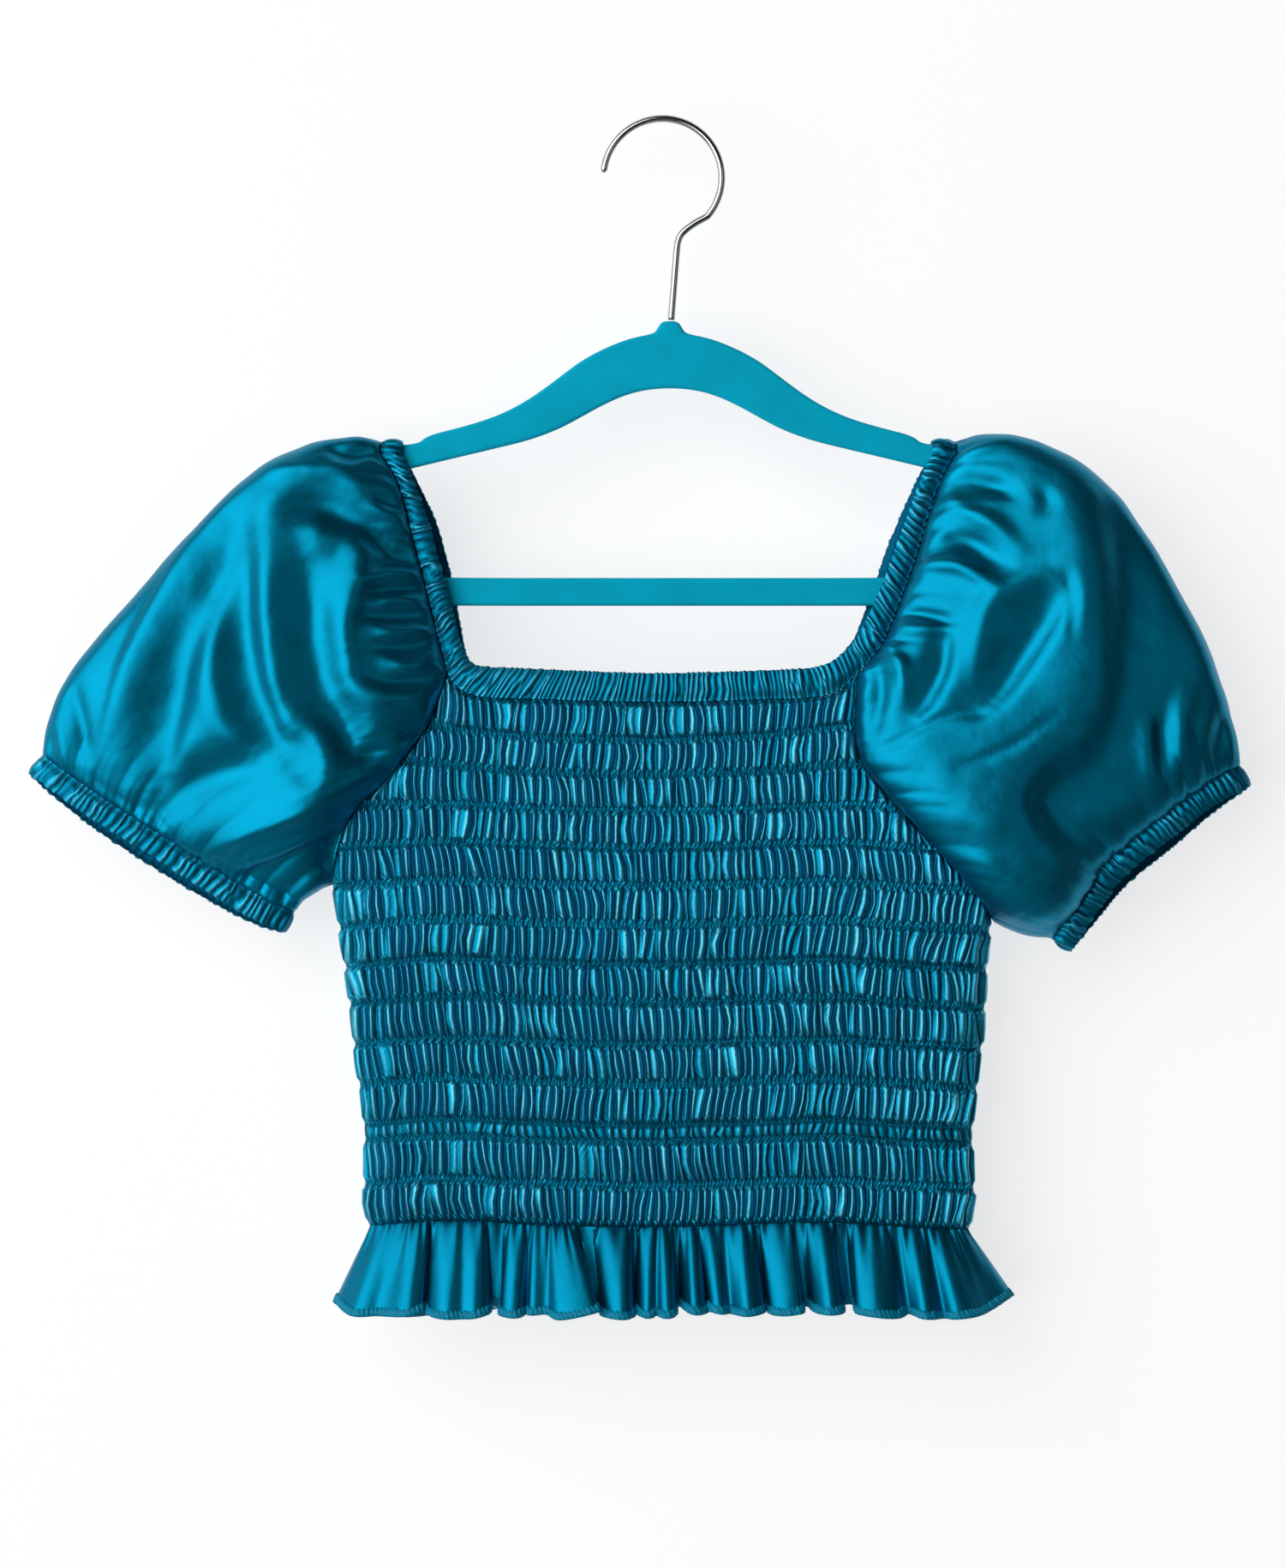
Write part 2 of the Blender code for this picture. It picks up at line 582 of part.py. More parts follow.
def make_hook():
    """The wire hook: a bend of most of a circle, a kink and a shank down to the hanger's boss."""
    route = []
    steps = round((BEND_START_DEG - BEND_END_DEG) / BEND_STEP_DEG)
    for k in range(steps + 1):
        angle = math.radians(BEND_START_DEG + (BEND_END_DEG - BEND_START_DEG) * k / steps)
        route.append((BEND_RADIUS * math.cos(angle), BEND_CENTRE_Z + BEND_RADIUS * math.sin(angle)))
    route += SHANK
    curve = bpy.data.curves.new("hook", "CURVE")
    curve.dimensions = "3D"
    curve.bevel_depth = WIRE_RADIUS * MM
    curve.bevel_resolution = 2
    curve.use_fill_caps = True
    spline = curve.splines.new("POLY")
    spline.points.add(len(route) - 1)
    for point, (x, z) in zip(spline.points, route):
        point.co = (x * MM, 0, z * MM, 1)
    return add_part(bpy.data.objects.new("hook", curve), "chrome")


def clear_scene():
    for obj in list(bpy.data.objects):
        bpy.data.objects.remove(obj)
    bpy.context.scene.collection.children.link(bpy.data.collections.new("smocked_ruffle_top"))


def make_materials():
    for name, (colour, roughness, metallic) in COLOURS.items():
        material = bpy.data.materials.new(name)
        material.use_nodes = True
        shader = material.node_tree.nodes["Principled BSDF"]
        shader.inputs["Base Color"].default_value = colour
        shader.inputs["Roughness"].default_value = roughness
        shader.inputs["Metallic"].default_value = metallic


def main():
    clear_scene()
    make_materials()
    make_bodice_panel("bodice_front", -1)
    make_bodice_panel("bodice_back", 1)
    make_neck_casing()
    for side, hand in ((-1, "left"), (1, "right")):
        make_sleeve(f"sleeve_{hand}", side)
        make_cuff(f"cuff_{hand}", side)
    make_ruffle()
    make_hanger()
    make_hook()


main()
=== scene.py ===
import math

import bmesh
import bpy
import numpy as np
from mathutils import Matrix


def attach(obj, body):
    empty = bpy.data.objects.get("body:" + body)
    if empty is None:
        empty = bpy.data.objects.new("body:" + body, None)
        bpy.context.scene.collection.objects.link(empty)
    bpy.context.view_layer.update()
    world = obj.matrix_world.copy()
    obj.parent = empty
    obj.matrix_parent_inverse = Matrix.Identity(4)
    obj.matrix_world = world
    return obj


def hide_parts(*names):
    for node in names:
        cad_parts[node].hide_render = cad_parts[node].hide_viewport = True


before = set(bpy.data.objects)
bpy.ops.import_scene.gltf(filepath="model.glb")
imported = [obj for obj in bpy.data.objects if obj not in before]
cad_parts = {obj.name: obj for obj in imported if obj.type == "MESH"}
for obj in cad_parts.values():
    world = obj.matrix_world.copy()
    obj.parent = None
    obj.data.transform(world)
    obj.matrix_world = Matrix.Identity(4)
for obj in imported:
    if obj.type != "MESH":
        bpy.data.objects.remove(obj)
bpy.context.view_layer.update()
mm = 0.001
print("frame loaded with", len(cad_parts), "nodes")

# Numbers below are millimetres in the frame of the solids: x across, z up, the front faces -y,
# and the origin is the highest point inside the hook's bend. Meshes are scaled to metres at the end.


# curves and soft noise that all pieces share

def lengthAlong(line):
    steps = np.linalg.norm(np.diff(line, axis=0), axis=1)
    return np.concatenate([[0.0], np.cumsum(steps)])


def pointsAt(line, far, wanted):
    return np.column_stack([np.interp(wanted, far, values) for values in line.T])


def resample(line, shares):
    far = lengthAlong(line)
    return pointsAt(line, far, np.asarray(shares) * far[-1])


def smoothPath(points, count):
    # an evenly spaced curve through the points
    given = np.array(points, float)
    ends = np.vstack([2 * given[0] - given[1], given, 2 * given[-1] - given[-2]])
    t = np.linspace(0, 1, 24, endpoint=False)[:, None]
    dense = []
    for a, b, c, d in zip(ends[:-3], ends[1:-2], ends[2:-1], ends[3:]):
        bend, twist = 2 * a - 5 * b + 4 * c - d, 3 * b - a - 3 * c + d
        dense.append(0.5 * (2 * b + (c - a) * t + bend * t**2 + twist * t**3))
    return resample(np.vstack(dense + [given[-1:]]), np.linspace(0, 1, count))


def flatNormals(line):
    along = np.gradient(line, axis=0)
    along /= np.linalg.norm(along, axis=1)[:, None]
    return np.column_stack([along[:, 1], -along[:, 0]])


def unit(vectors):
    return vectors / np.maximum(np.linalg.norm(vectors, axis=-1, keepdims=True), 1e-9)


def smoothstep(t):
    t = np.clip(t, 0, 1)
    return t * t * (3 - 2 * t)


def softNoise(x, y, seed):
    # smooth seeded noise from -1 to 1, about one bump per unit
    table = np.random.default_rng(seed).uniform(-1, 1, (64, 64))
    x, y = np.broadcast_arrays(np.asarray(x, float), np.asarray(y, float))
    x0, y0 = np.floor(x).astype(int), np.floor(y).astype(int)
    fx, fy = smoothstep(x - x0), smoothstep(y - y0)
    near = table[x0 % 64, y0 % 64] * (1 - fx) + table[(x0 + 1) % 64, y0 % 64] * fx
    far = table[x0 % 64, (y0 + 1) % 64] * (1 - fx) + table[(x0 + 1) % 64, (y0 + 1) % 64] * fx
    return near * (1 - fy) + far * fy


def unevenFolds(count, seed, jitter=0.32, drift=0.5):
    # where the valleys between gathers lie, from 0 to 1, each gather its own width
    rng = np.random.default_rng(seed)
    place = np.arange(count + 1) + rng.uniform(-jitter, jitter, count + 1)
    place += drift * softNoise(np.arange(count + 1) / 6, 0, seed + 1)
    place[0], place[-1] = 0, count
    return np.sort(place) / count


def gatherAt(phase, heights):
    # rounded ridges with sharp valleys between, each ridge with its own height
    index = np.floor(phase).astype(int) % len(heights)
    return np.abs(np.sin(math.pi * phase)) ** 0.8 * heights[index]


# meshes

def finishInto(mesh, work):
    work.to_mesh(mesh)
    work.free()
    return mesh


def gridPiece(name, points, cut, outwards, closeRound=False, closeTube=False, fields=None, cutAway=None):
    # a sheet of cloth from rows of points; its UV map is the flat cloth in metres
    rows, columns = points.shape[:2]
    work = bmesh.new()
    work.loops.layers.uv.new("cloth")
    bmesh.ops.create_grid(work, x_segments=columns - 1, y_segments=rows - 1, size=1, calc_uvs=True)
    normals = np.cross(np.gradient(points, axis=1), np.gradient(points, axis=0))
    if (normals * outwards).sum() < 0:
        bmesh.ops.reverse_faces(work, faces=work.faces)
    mesh = finishInto(bpy.data.meshes.new(name), work)
    mesh.vertices.foreach_set("co", (points * mm).astype(np.float32).ravel())
    layer = mesh.uv_layers["cloth"].data
    corners = np.empty(len(layer) * 2, np.float32)
    layer.foreach_get("uv", corners)
    layer.foreach_set("uv", (corners.reshape(-1, 2) * cut).astype(np.float32).ravel())
    for field, values in (fields or {}).items():
        mesh.attributes.new(field, "FLOAT", "POINT").data.foreach_set("value", values.astype(np.float32).ravel())
    if closeRound or closeTube or cutAway is not None:
        work = bmesh.new()
        work.from_mesh(mesh)
        work.verts.ensure_lookup_table()
        seam = [work.verts[r * columns + c] for r in range(rows) for c in (0, columns - 1)] if closeRound else []
        if cutAway is not None:   # what lies beyond the cut edge has been drawn in to it, and is merged there
            seam += [work.verts[k] for k in np.flatnonzero(cutAway.ravel())]
        seam += [work.verts[r * columns + c] for r in (0, rows - 1) for c in range(columns)] if closeTube else []
        bmesh.ops.remove_doubles(work, verts=list(dict.fromkeys(seam)), dist=1e-6)   # each once, in one order
        finishInto(mesh, work)
    mesh.shade_smooth()
    return bpy.data.objects.new(name, mesh)


clothShell = {"panel": 0.35, "sleeve": 0.4, "ruffle": 0.4, "casing": 0.3}   # wall of each thin shell, mm


def giveThickness(piece, thickness):
    wall = piece.modifiers.new("cloth thickness", "SOLIDIFY")
    wall.thickness = thickness * mm
    wall.offset = -1


def dress(piece, material, slotName, *nodes):
    piece.data.materials.clear()
    piece.data.materials.append(material)
    bpy.context.scene.collection.objects.link(piece)
    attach(piece, "root")
    if nodes:
        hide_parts(*nodes)
    return piece


# materials

def linear(hexColour):
    parts = [int(hexColour[i:i + 2], 16) / 255 for i in (1, 3, 5)]
    return [c / 12.92 if c <= 0.04045 else ((c + 0.055) / 1.055) ** 2.4 for c in parts] + [1]


def setInputs(tree, node, inputs):
    for name, value in inputs.items():
        if isinstance(value, bpy.types.NodeSocket):
            tree.links.new(value, node.inputs[name])
        else:
            node.inputs[name].default_value = value


def addNode(tree, kind, inputs=None, **settings):
    node = tree.nodes.new(kind)
    for name, value in settings.items():
        setattr(node, name, value)
    setInputs(tree, node, inputs or {})
    return node


def newMaterial(name):
    material = bpy.data.materials.new(name)
    material.use_nodes = True
    tree = material.node_tree
    return material, tree, tree.nodes["Principled BSDF"]


satinLook = {
    "bright": "#0087AA",
    "deep": "#007A9A",
    # the next three: colour of the painted highlight on fold crests, how much of it, and colour of the painted
    # shade in fold valleys
    "paintedLight": "#5CC6E0",
    "paintedHighlightShare": 0.75,
    "paintedValleyShade": "#004360",
    "metallic": 0.97,
    "roughness": 0.42,
    "sheen": "#37C4E6",
    "yarnAcross": 0.5,   # mm; the real floats are about 0.12 mm, too fine to show, so they are drawn coarser
    "yarnAlong": 7.0,
    "yarnDepth": 0.02,
    "dyePatch": 45.0,
    "puckerSize": 9.0,
    "puckerDepth": 0.25,
    "pinchDepth": 0.5,
}


def makeSatin():
    # polyester satin, woven with long floats and dyed: smooth tinted highlights that turn dark off the light
    look = satinLook
    material, tree, shader = newMaterial("polyester satin, woven and dyed")
    cloth = addNode(tree, "ShaderNodeUVMap", uv_map="cloth")
    place = addNode(tree, "ShaderNodeTexCoord")
    yarnScale = (1 / (look["yarnAcross"] * mm), 1 / (look["yarnAlong"] * mm), 1)
    yarnPlace = addNode(tree, "ShaderNodeMapping", {"Vector": cloth.outputs["UV"], "Scale": yarnScale})
    yarns = addNode(tree, "ShaderNodeTexNoise",
                    {"Vector": yarnPlace.outputs["Vector"], "Scale": 1.0, "Detail": 2.0})
    dye = addNode(tree, "ShaderNodeTexNoise",
                  {"Vector": place.outputs["Object"], "Scale": 1 / (look["dyePatch"] * mm), "Detail": 3.0})
    tone = addNode(tree, "ShaderNodeMath", {0: dye.outputs["Fac"], 1: yarns.outputs["Fac"]}, operation="MULTIPLY")
    toneRange = addNode(tree, "ShaderNodeMapRange", {"Value": tone.outputs[0], "From Min": 0.12, "From Max": 0.38})
    colour = addNode(tree, "ShaderNodeMix",
                     {"Factor": toneRange.outputs["Result"], 6: linear(look["deep"]), 7: linear(look["bright"])},
                     data_type="RGBA")
    # painted highlight: the crests of tight folds are painted paler; painted shade: the valleys are painted darker
    paintedLight = addNode(tree, "ShaderNodeAttribute", attribute_name="paintedLight")
    paintedShadeShare = addNode(tree, "ShaderNodeMapRange",
                          {"Value": paintedLight.outputs["Fac"], "From Min": 0.0, "From Max": -1.0})
    shadePainted = addNode(tree, "ShaderNodeMix",
                       {"Factor": paintedShadeShare.outputs["Result"], 6: colour.outputs[2], 7: linear(look["paintedValleyShade"])},
                       data_type="RGBA")
    paintedHighlightAmount = addNode(tree, "ShaderNodeMath", {0: paintedLight.outputs["Fac"], 1: look["paintedHighlightShare"]},
                        operation="MULTIPLY", use_clamp=True)
    highlightPainted = addNode(tree, "ShaderNodeMix",
                    {"Factor": paintedHighlightAmount.outputs[0], 6: shadePainted.outputs[2], 7: linear(look["paintedLight"])},
                    data_type="RGBA")
    pucker = addNode(tree, "ShaderNodeTexNoise",
                     {"Vector": place.outputs["Object"], "Scale": 1 / (look["puckerSize"] * mm), "Detail": 2.0})
    phase = addNode(tree, "ShaderNodeAttribute", attribute_name="phase")
    pinch = addNode(tree, "ShaderNodeAttribute", attribute_name="pinch")
    turn = addNode(tree, "ShaderNodeMath", {0: phase.outputs["Fac"], 1: 2 * math.pi}, operation="MULTIPLY")
    wave = addNode(tree, "ShaderNodeMath", {0: turn.outputs[0]}, operation="SINE")
    height = addNode(tree, "ShaderNodeMath", {0: wave.outputs[0], 1: pinch.outputs["Fac"]}, operation="MULTIPLY")
    bumpPinch = addNode(tree, "ShaderNodeBump",
                        {"Height": height.outputs[0], "Distance": look["pinchDepth"] * mm, "Strength": 1.0})
    bumpPucker = addNode(tree, "ShaderNodeBump",
                         {"Height": pucker.outputs["Fac"], "Distance": look["puckerDepth"] * mm, "Strength": 1.0,
                          "Normal": bumpPinch.outputs["Normal"]})
    bumpYarn = addNode(tree, "ShaderNodeBump",
                       {"Height": yarns.outputs["Fac"], "Distance": look["yarnDepth"] * mm, "Strength": 1.0,
                        "Normal": bumpPucker.outputs["Normal"]})
    gloss = addNode(tree, "ShaderNodeMapRange",
                    {"Value": yarns.outputs["Fac"], "From Min": 0.3, "From Max": 0.7,
                     "To Min": look["roughness"] - 0.03, "To Max": look["roughness"] + 0.05})
    setInputs(tree, shader, {
        "Base Color": highlightPainted.outputs[2], "Roughness": gloss.outputs["Result"], "Normal": bumpYarn.outputs["Normal"],
        "Metallic": look["metallic"], "Sheen Weight": 0.05, "Sheen Roughness": 0.4,
        "Sheen Tint": linear(look["sheen"])})
    return material


threadLook = {"colour": "#00A0C6", "shade": "#005A76", "twist": 0.9}


def makeThread():
    # polyester sewing thread, twisted: a soft gloss broken up by its plies
    material, tree, shader = newMaterial("polyester thread, twisted")
    place = addNode(tree, "ShaderNodeTexCoord")
    plies = addNode(tree, "ShaderNodeTexNoise",
                    {"Vector": place.outputs["Object"], "Scale": 1 / (threadLook["twist"] * mm), "Detail": 1.0})
    colour = addNode(tree, "ShaderNodeMix",
                     {"Factor": plies.outputs["Fac"], 6: linear(threadLook["shade"]),
                      7: linear(threadLook["colour"])}, data_type="RGBA")
    bump = addNode(tree, "ShaderNodeBump", {"Height": plies.outputs["Fac"], "Distance": 0.12 * mm, "Strength": 1.0})
    setInputs(tree, shader, {"Base Color": colour.outputs[2], "Normal": bump.outputs["Normal"], "Roughness": 0.5,
                             "Specular IOR Level": 0.15})
    return material


velvetLook = {"colour": "#00B3D5", "shade": "#00A7C7", "flock": 0.6, "worn": 22.0}


def makeVelvet():
    # nylon flock blown onto moulded plastic: no gloss, a soft bright rim and a slightly mottled nap
    material, tree, shader = newMaterial("nylon flock on moulded plastic")
    place = addNode(tree, "ShaderNodeTexCoord")
    flock = addNode(tree, "ShaderNodeTexNoise",
                    {"Vector": place.outputs["Object"], "Scale": 1 / (velvetLook["flock"] * mm), "Detail": 3.0})
    nap = addNode(tree, "ShaderNodeTexNoise",
                  {"Vector": place.outputs["Object"], "Scale": 1 / (velvetLook["worn"] * mm), "Detail": 4.0})
    mixed = addNode(tree, "ShaderNodeMath", {0: flock.outputs["Fac"], 1: nap.outputs["Fac"]}, operation="MULTIPLY")
    span = addNode(tree, "ShaderNodeMapRange", {"Value": mixed.outputs[0], "From Min": 0.12, "From Max": 0.4})
    colour = addNode(tree, "ShaderNodeMix",
                     {"Factor": span.outputs["Result"], 6: linear(velvetLook["shade"]),
                      7: linear(velvetLook["colour"])}, data_type="RGBA")
    bump = addNode(tree, "ShaderNodeBump", {"Height": flock.outputs["Fac"], "Distance": 0.15 * mm, "Strength": 1.0})
    setInputs(tree, shader, {
        "Base Color": colour.outputs[2], "Normal": bump.outputs["Normal"], "Roughness": 0.9,
        "Specular IOR Level": 0.1, "Sheen Weight": 0.08, "Sheen Roughness": 0.5, "Sheen Tint": linear("#59D2EE")})
    return material


chromeLook = {"colour": "#B9BABC", "roughness": 0.12, "scratch": 1.6}


def makeChrome():
    # steel wire, drawn and chrome plated: a mirror with faint draw marks
    material, tree, shader = newMaterial("steel wire, drawn and chrome plated")
    place = addNode(tree, "ShaderNodeTexCoord")
    marks = addNode(tree, "ShaderNodeTexNoise",
                    {"Vector": place.outputs["Object"], "Scale": 1 / (chromeLook["scratch"] * mm), "Detail": 4.0})
    gloss = addNode(tree, "ShaderNodeMapRange",
                    {"Value": marks.outputs["Fac"], "From Min": 0.3, "From Max": 0.7,
                     "To Min": chromeLook["roughness"] - 0.03, "To Max": chromeLook["roughness"] + 0.08})
    bump = addNode(tree, "ShaderNodeBump", {"Height": marks.outputs["Fac"], "Distance": 0.01 * mm, "Strength": 0.5})
    setInputs(tree, shader, {"Base Color": linear(chromeLook["colour"]), "Metallic": 1.0,
                             "Roughness": gloss.outputs["Result"], "Normal": bump.outputs["Normal"]})
    return material


satin, thread, velvet, chrome = makeSatin(), makeThread(), makeVelvet(), makeChrome()
print("materials made")


# the body's form, a flattened oval that all cloth lies on

body = {
    "z": (-513.8, -503, -487, -471, -455, -439, -423, -407, -391, -372.2, -354.6, -340, -322, -150),
    "centre": (2.9, 2.9, 3.0, 2.7, 2.8, 2.4, 2.6, 2.2, 1.5, 1.0, 0.8, 1.0, 2.0, 2.5),
    "half": (141.3, 143.6, 142.6, 142.8, 144.4, 146.4, 148.2, 149.6, 150.8, 153.2, 156.4, 163, 170, 174),
    "depth": (13.0, 13.3, 13.7, 14.1, 14.4, 14.5, 14.4, 14.2, 13.9, 13.7, 13.5, 12.9, 12.2, 5.8),
    "roundness": 2.6,
    "clothWall": 1.2,
    "sidePuff": 1.6,
}


def bodyAt(z, what):
    return np.interp(z, body["z"], body[what])


def innerHalf(z):
    return bodyAt(z, "half") - body["clothWall"] - body["sidePuff"]


def depthAt(x, z):
    across = np.clip(np.abs((x - bodyAt(z, "centre")) / innerHalf(z)), 0, 1)
    return bodyAt(z, "depth") * (1 - across**body["roundness"]) ** (1 / body["roundness"])


def outwardAt(x, z, face):
    slope = (depthAt(x + 0.05, z) - depthAt(x - 0.05, z)) / 0.1
    return unit(np.stack([-slope, np.full_like(slope, face), np.zeros_like(slope)], axis=-1))


def onBody(line, face):
    return np.column_stack([line[:, 0], face * depthAt(line[:, 0], line[:, 1]), line[:, 1]])


# Seams in the plane of the garment, as (x, z), straps from the shoulder down
seams = {
    "neck": (
        (-100, -258), (-97, -262.6), (-91.6, -266.4), (-84, -268.6), (-69, -269.4), (-5, -271), (50, -269.8),
        (69, -269), (78, -267.4), (85, -263.8), (90.5, -258),
    ),
    "neckEdge": (
        (-91.8, -248.4), (-89.8, -251.6), (-86.8, -253.6), (-80, -254.6), (-69, -255), (-5, -257.4), (50, -256),
        (66, -255.2), (74.4, -253.8), (80.2, -251), (84.4, -247.4),
    ),
    "leftStrap": (
        (-131.5, -154.8), (-126, -163), (-121, -175), (-115.6, -197), (-111, -214), (-106, -235),
        (-102.6, -248), (-100, -258),
    ),
    "leftStrapEdge": (
        (-121.2, -154.8), (-118.4, -161), (-113.2, -174.5), (-108.6, -187), (-104.3, -203), (-99.8, -220),
        (-96.2, -234), (-91.8, -248.4),
    ),
    "rightStrap": (
        (136.6, -154.8), (132.8, -161), (128, -172), (122.6, -188), (119, -201), (114.6, -213.6),
        (104, -240.5), (97, -251), (90.5, -258),
    ),
    "rightStrapEdge": (
        (125.6, -154.8), (122, -162), (116.8, -176), (112, -189), (107.4, -201), (103, -213.6),
        (93, -236), (88.6, -243), (84.4, -247.4),
    ),
    "leftArmholeZ": (-354.6, -340, -328, -318.6, -310.6, -301.4, -292.2, -283.8, -272.6, -258),
    "leftArmholeX": (-153.6, -151.4, -147.4, -141, -131.8, -123.4, -116.6, -109.8, -105.4, -100),
    "rightArmholeZ": (-372.2, -360.6, -350.2, -337.8, -321.8, -310.6, -300, -290, -279.8, -258),
    "rightArmholeX": (154, 147.4, 138, 126.6, 110.6, 101, 92.5, 89.6, 89.2, 90.5),
    "shoulderZ": -154.8,
    "strapDrop": 93.2,   # from the shoulder to the casing's corner
    "backShift": 3.4,    # on the back the straps lie a little nearer the neck
}


def panelEdges(z):
    centre, half = bodyAt(z, "centre"), innerHalf(z)
    left, right = (np.where(z > seams[hand + "ArmholeZ"][0],
                            np.interp(z, seams[hand + "ArmholeZ"], seams[hand + "ArmholeX"]), beyond)
                   for hand, beyond in (("left", -999), ("right", 999)))
    return np.maximum(left, centre - half), np.minimum(right, centre + half)


def backShifted(line):
    share = np.clip((seams["shoulderZ"] - line[:, 1]) / seams["strapDrop"], 0, 1)
    moved = line.copy()
    moved[:, 0] -= np.sign(line[:, 0]) * seams["backShift"] * np.sin(math.pi * share)
    return moved


def shoulderArc(x, face, fromDeg, toDeg, steps):
    # over the hanger at a strap's top, starting at the given side of the middle plane
    radius = float(depthAt(x, seams["shoulderZ"]))
    angles = np.radians(np.linspace(fromDeg, toDeg, steps))
    out = np.column_stack([np.zeros(steps), face * np.cos(angles), np.sin(angles)])
    return np.array([x, 0, seams["shoulderZ"]]) + radius * out, out


# the two shirred panels

bodice = {
    # heights of the shirring lines at the middle of the front; the first is the neck seam
    "lines": (
        -271.0, -288.2, -304.6, -321.4, -338.8, -356.2, -374.6, -392.6,
        -410.6, -429.6, -448.2, -467.4, -474.6, -495.4, -514.4,
    ),
    # across the panel a line runs this much higher than at the middle
    "lineX": (-150, -133, -109, -85, -61, -29, 0, 35, 59, 83, 107, 131, 152),
    "lineRise": (-1.6, 0.4, 2.8, 2.6, 1.2, 0.2, 0, 1.0, 2.0, 2.2, 0.2, -1.4, -2.8),
    "climbAtArmhole": {"left": (0, 3.6, 4.4, 2.8, 1.4, 1.2), "right": (0, 4.5, 3.5, 1.5, 0.5, 0)},
    "climbReach": 26.0,
    "lineWander": 0.4,
    "folds": 80,
    "foldWidths": {"bodice_front": 7, "bodice_back": 5},   # columns of mesh in one fold
    # down one puff: share of its height, and how far the folds stand up there
    "puff": ((0.0, 0.0), (0.09, 0.42), (0.18, 0.96), (0.5, 1.0), (0.82, 0.96), (0.91, 0.42)),
    "narrowPuff": ((0.0, 0.0), (0.3, 0.75), (0.7, 0.75)),
    "narrowBelow": 10.0,     # two lines closer than this have the narrow puff between them
    "foldRise": 3.0,
    "sharpness": (1.0, 2.1),
    "baseRise": 0.3,
    "pinchRise": 0.8,
    "joined": 0.27,      # share of neighbouring folds that run together: half way, low, high or all along
    "joinedKinds": (0.4, 0.62, 0.84, 1.0),
    "joinedPull": 0.26,
    "joinedLength": 0.22,
    "joinedHeight": 0.92,
    "jitter": (0.28, 0.4),
    "heights": (0.5, 1.1),
    "slip": (0.3, 0.14),     # how far a band's folds lean, all together and each alone
    "bow": (0.35, 0.12),     # and how far they curve
    "narrowSize": 0.55,
    # painted shade over the narrow puff between two close lines
    "narrowPaintedShade": 0.45,
    "paintedLightRamp": (1.9, -0.75),   # painted highlight on crests, painted shade in valleys: slope and start
    "pinchReach": 0.11,
    "zigzag": 0.35,
    "scallop": 1.5,
    "finished": 310.0,       # round the panel from seam to seam, after gathering
    "seamReach": 2.0,
    "armholeFade": 6.0,
    "sunk": 0.2,             # the cloth's ground lies this far inside the wall of the solids
    "clearance": 0.15,
    "flat": (0.54, 0.262),
    "flatArea": 0.125,
}


def placeTable(levels, count):
    # x at each height of places evenly spaced round the oval, whose sides rise straight past the armholes
    table = []
    for z in levels:
        side = min(z, seams["leftArmholeZ"][0])
        x = bodyAt(side, "centre") + innerHalf(side) * np.sin(np.linspace(-math.pi / 2, math.pi / 2, 721))
        section = np.column_stack([x, depthAt(x, np.full_like(x, side))])
        table.append(resample(section, np.linspace(0, 1, count))[:, 0])
    return np.array(table)


placeLevels = np.linspace(-517, -250, 60)
places = placeTable(placeLevels, 601)


def placeAt(share, z):
    spot = np.clip((z - placeLevels[0]) / (placeLevels[1] - placeLevels[0]), 0, len(placeLevels) - 1.001)
    across = np.clip(share * (places.shape[1] - 1), 0, places.shape[1] - 1.001)
    row, column = spot.astype(int), across.astype(int)
    down, right = spot - row, across - column
    low = places[row, column] * (1 - right) + places[row, column + 1] * right
    high = places[row + 1, column] * (1 - right) + places[row + 1, column + 1] * right
    return low * (1 - down) + high * down


def lineHeight(i, x, seed):
    if i == 0:
        return np.interp(x, *smoothPath(seams["neck"], 200).T)
    level = bodice["lines"][i]
    left, right = (float(edge) for edge in panelEdges(level))
    height = level + np.interp(x, bodice["lineX"], bodice["lineRise"])
    for hand, distance in (("left", x - left), ("right", right - x)):
        climbs = bodice["climbAtArmhole"][hand]
        if i < len(climbs):
            height = height + climbs[i] * np.exp(-((np.maximum(distance, 0) / bodice["climbReach"]) ** 2))
    return height + bodice["lineWander"] * softNoise(x / 18 + 20, i * 1.9, seed)


def foldValleys(base, shift, curve):
    # valleys between folds, in folds, kept in order between the panel's two sides
    moved = base + shift + curve
    moved[0], moved[-1] = 0, bodice["folds"]
    return np.sort(np.clip(moved, 0, bodice["folds"]))


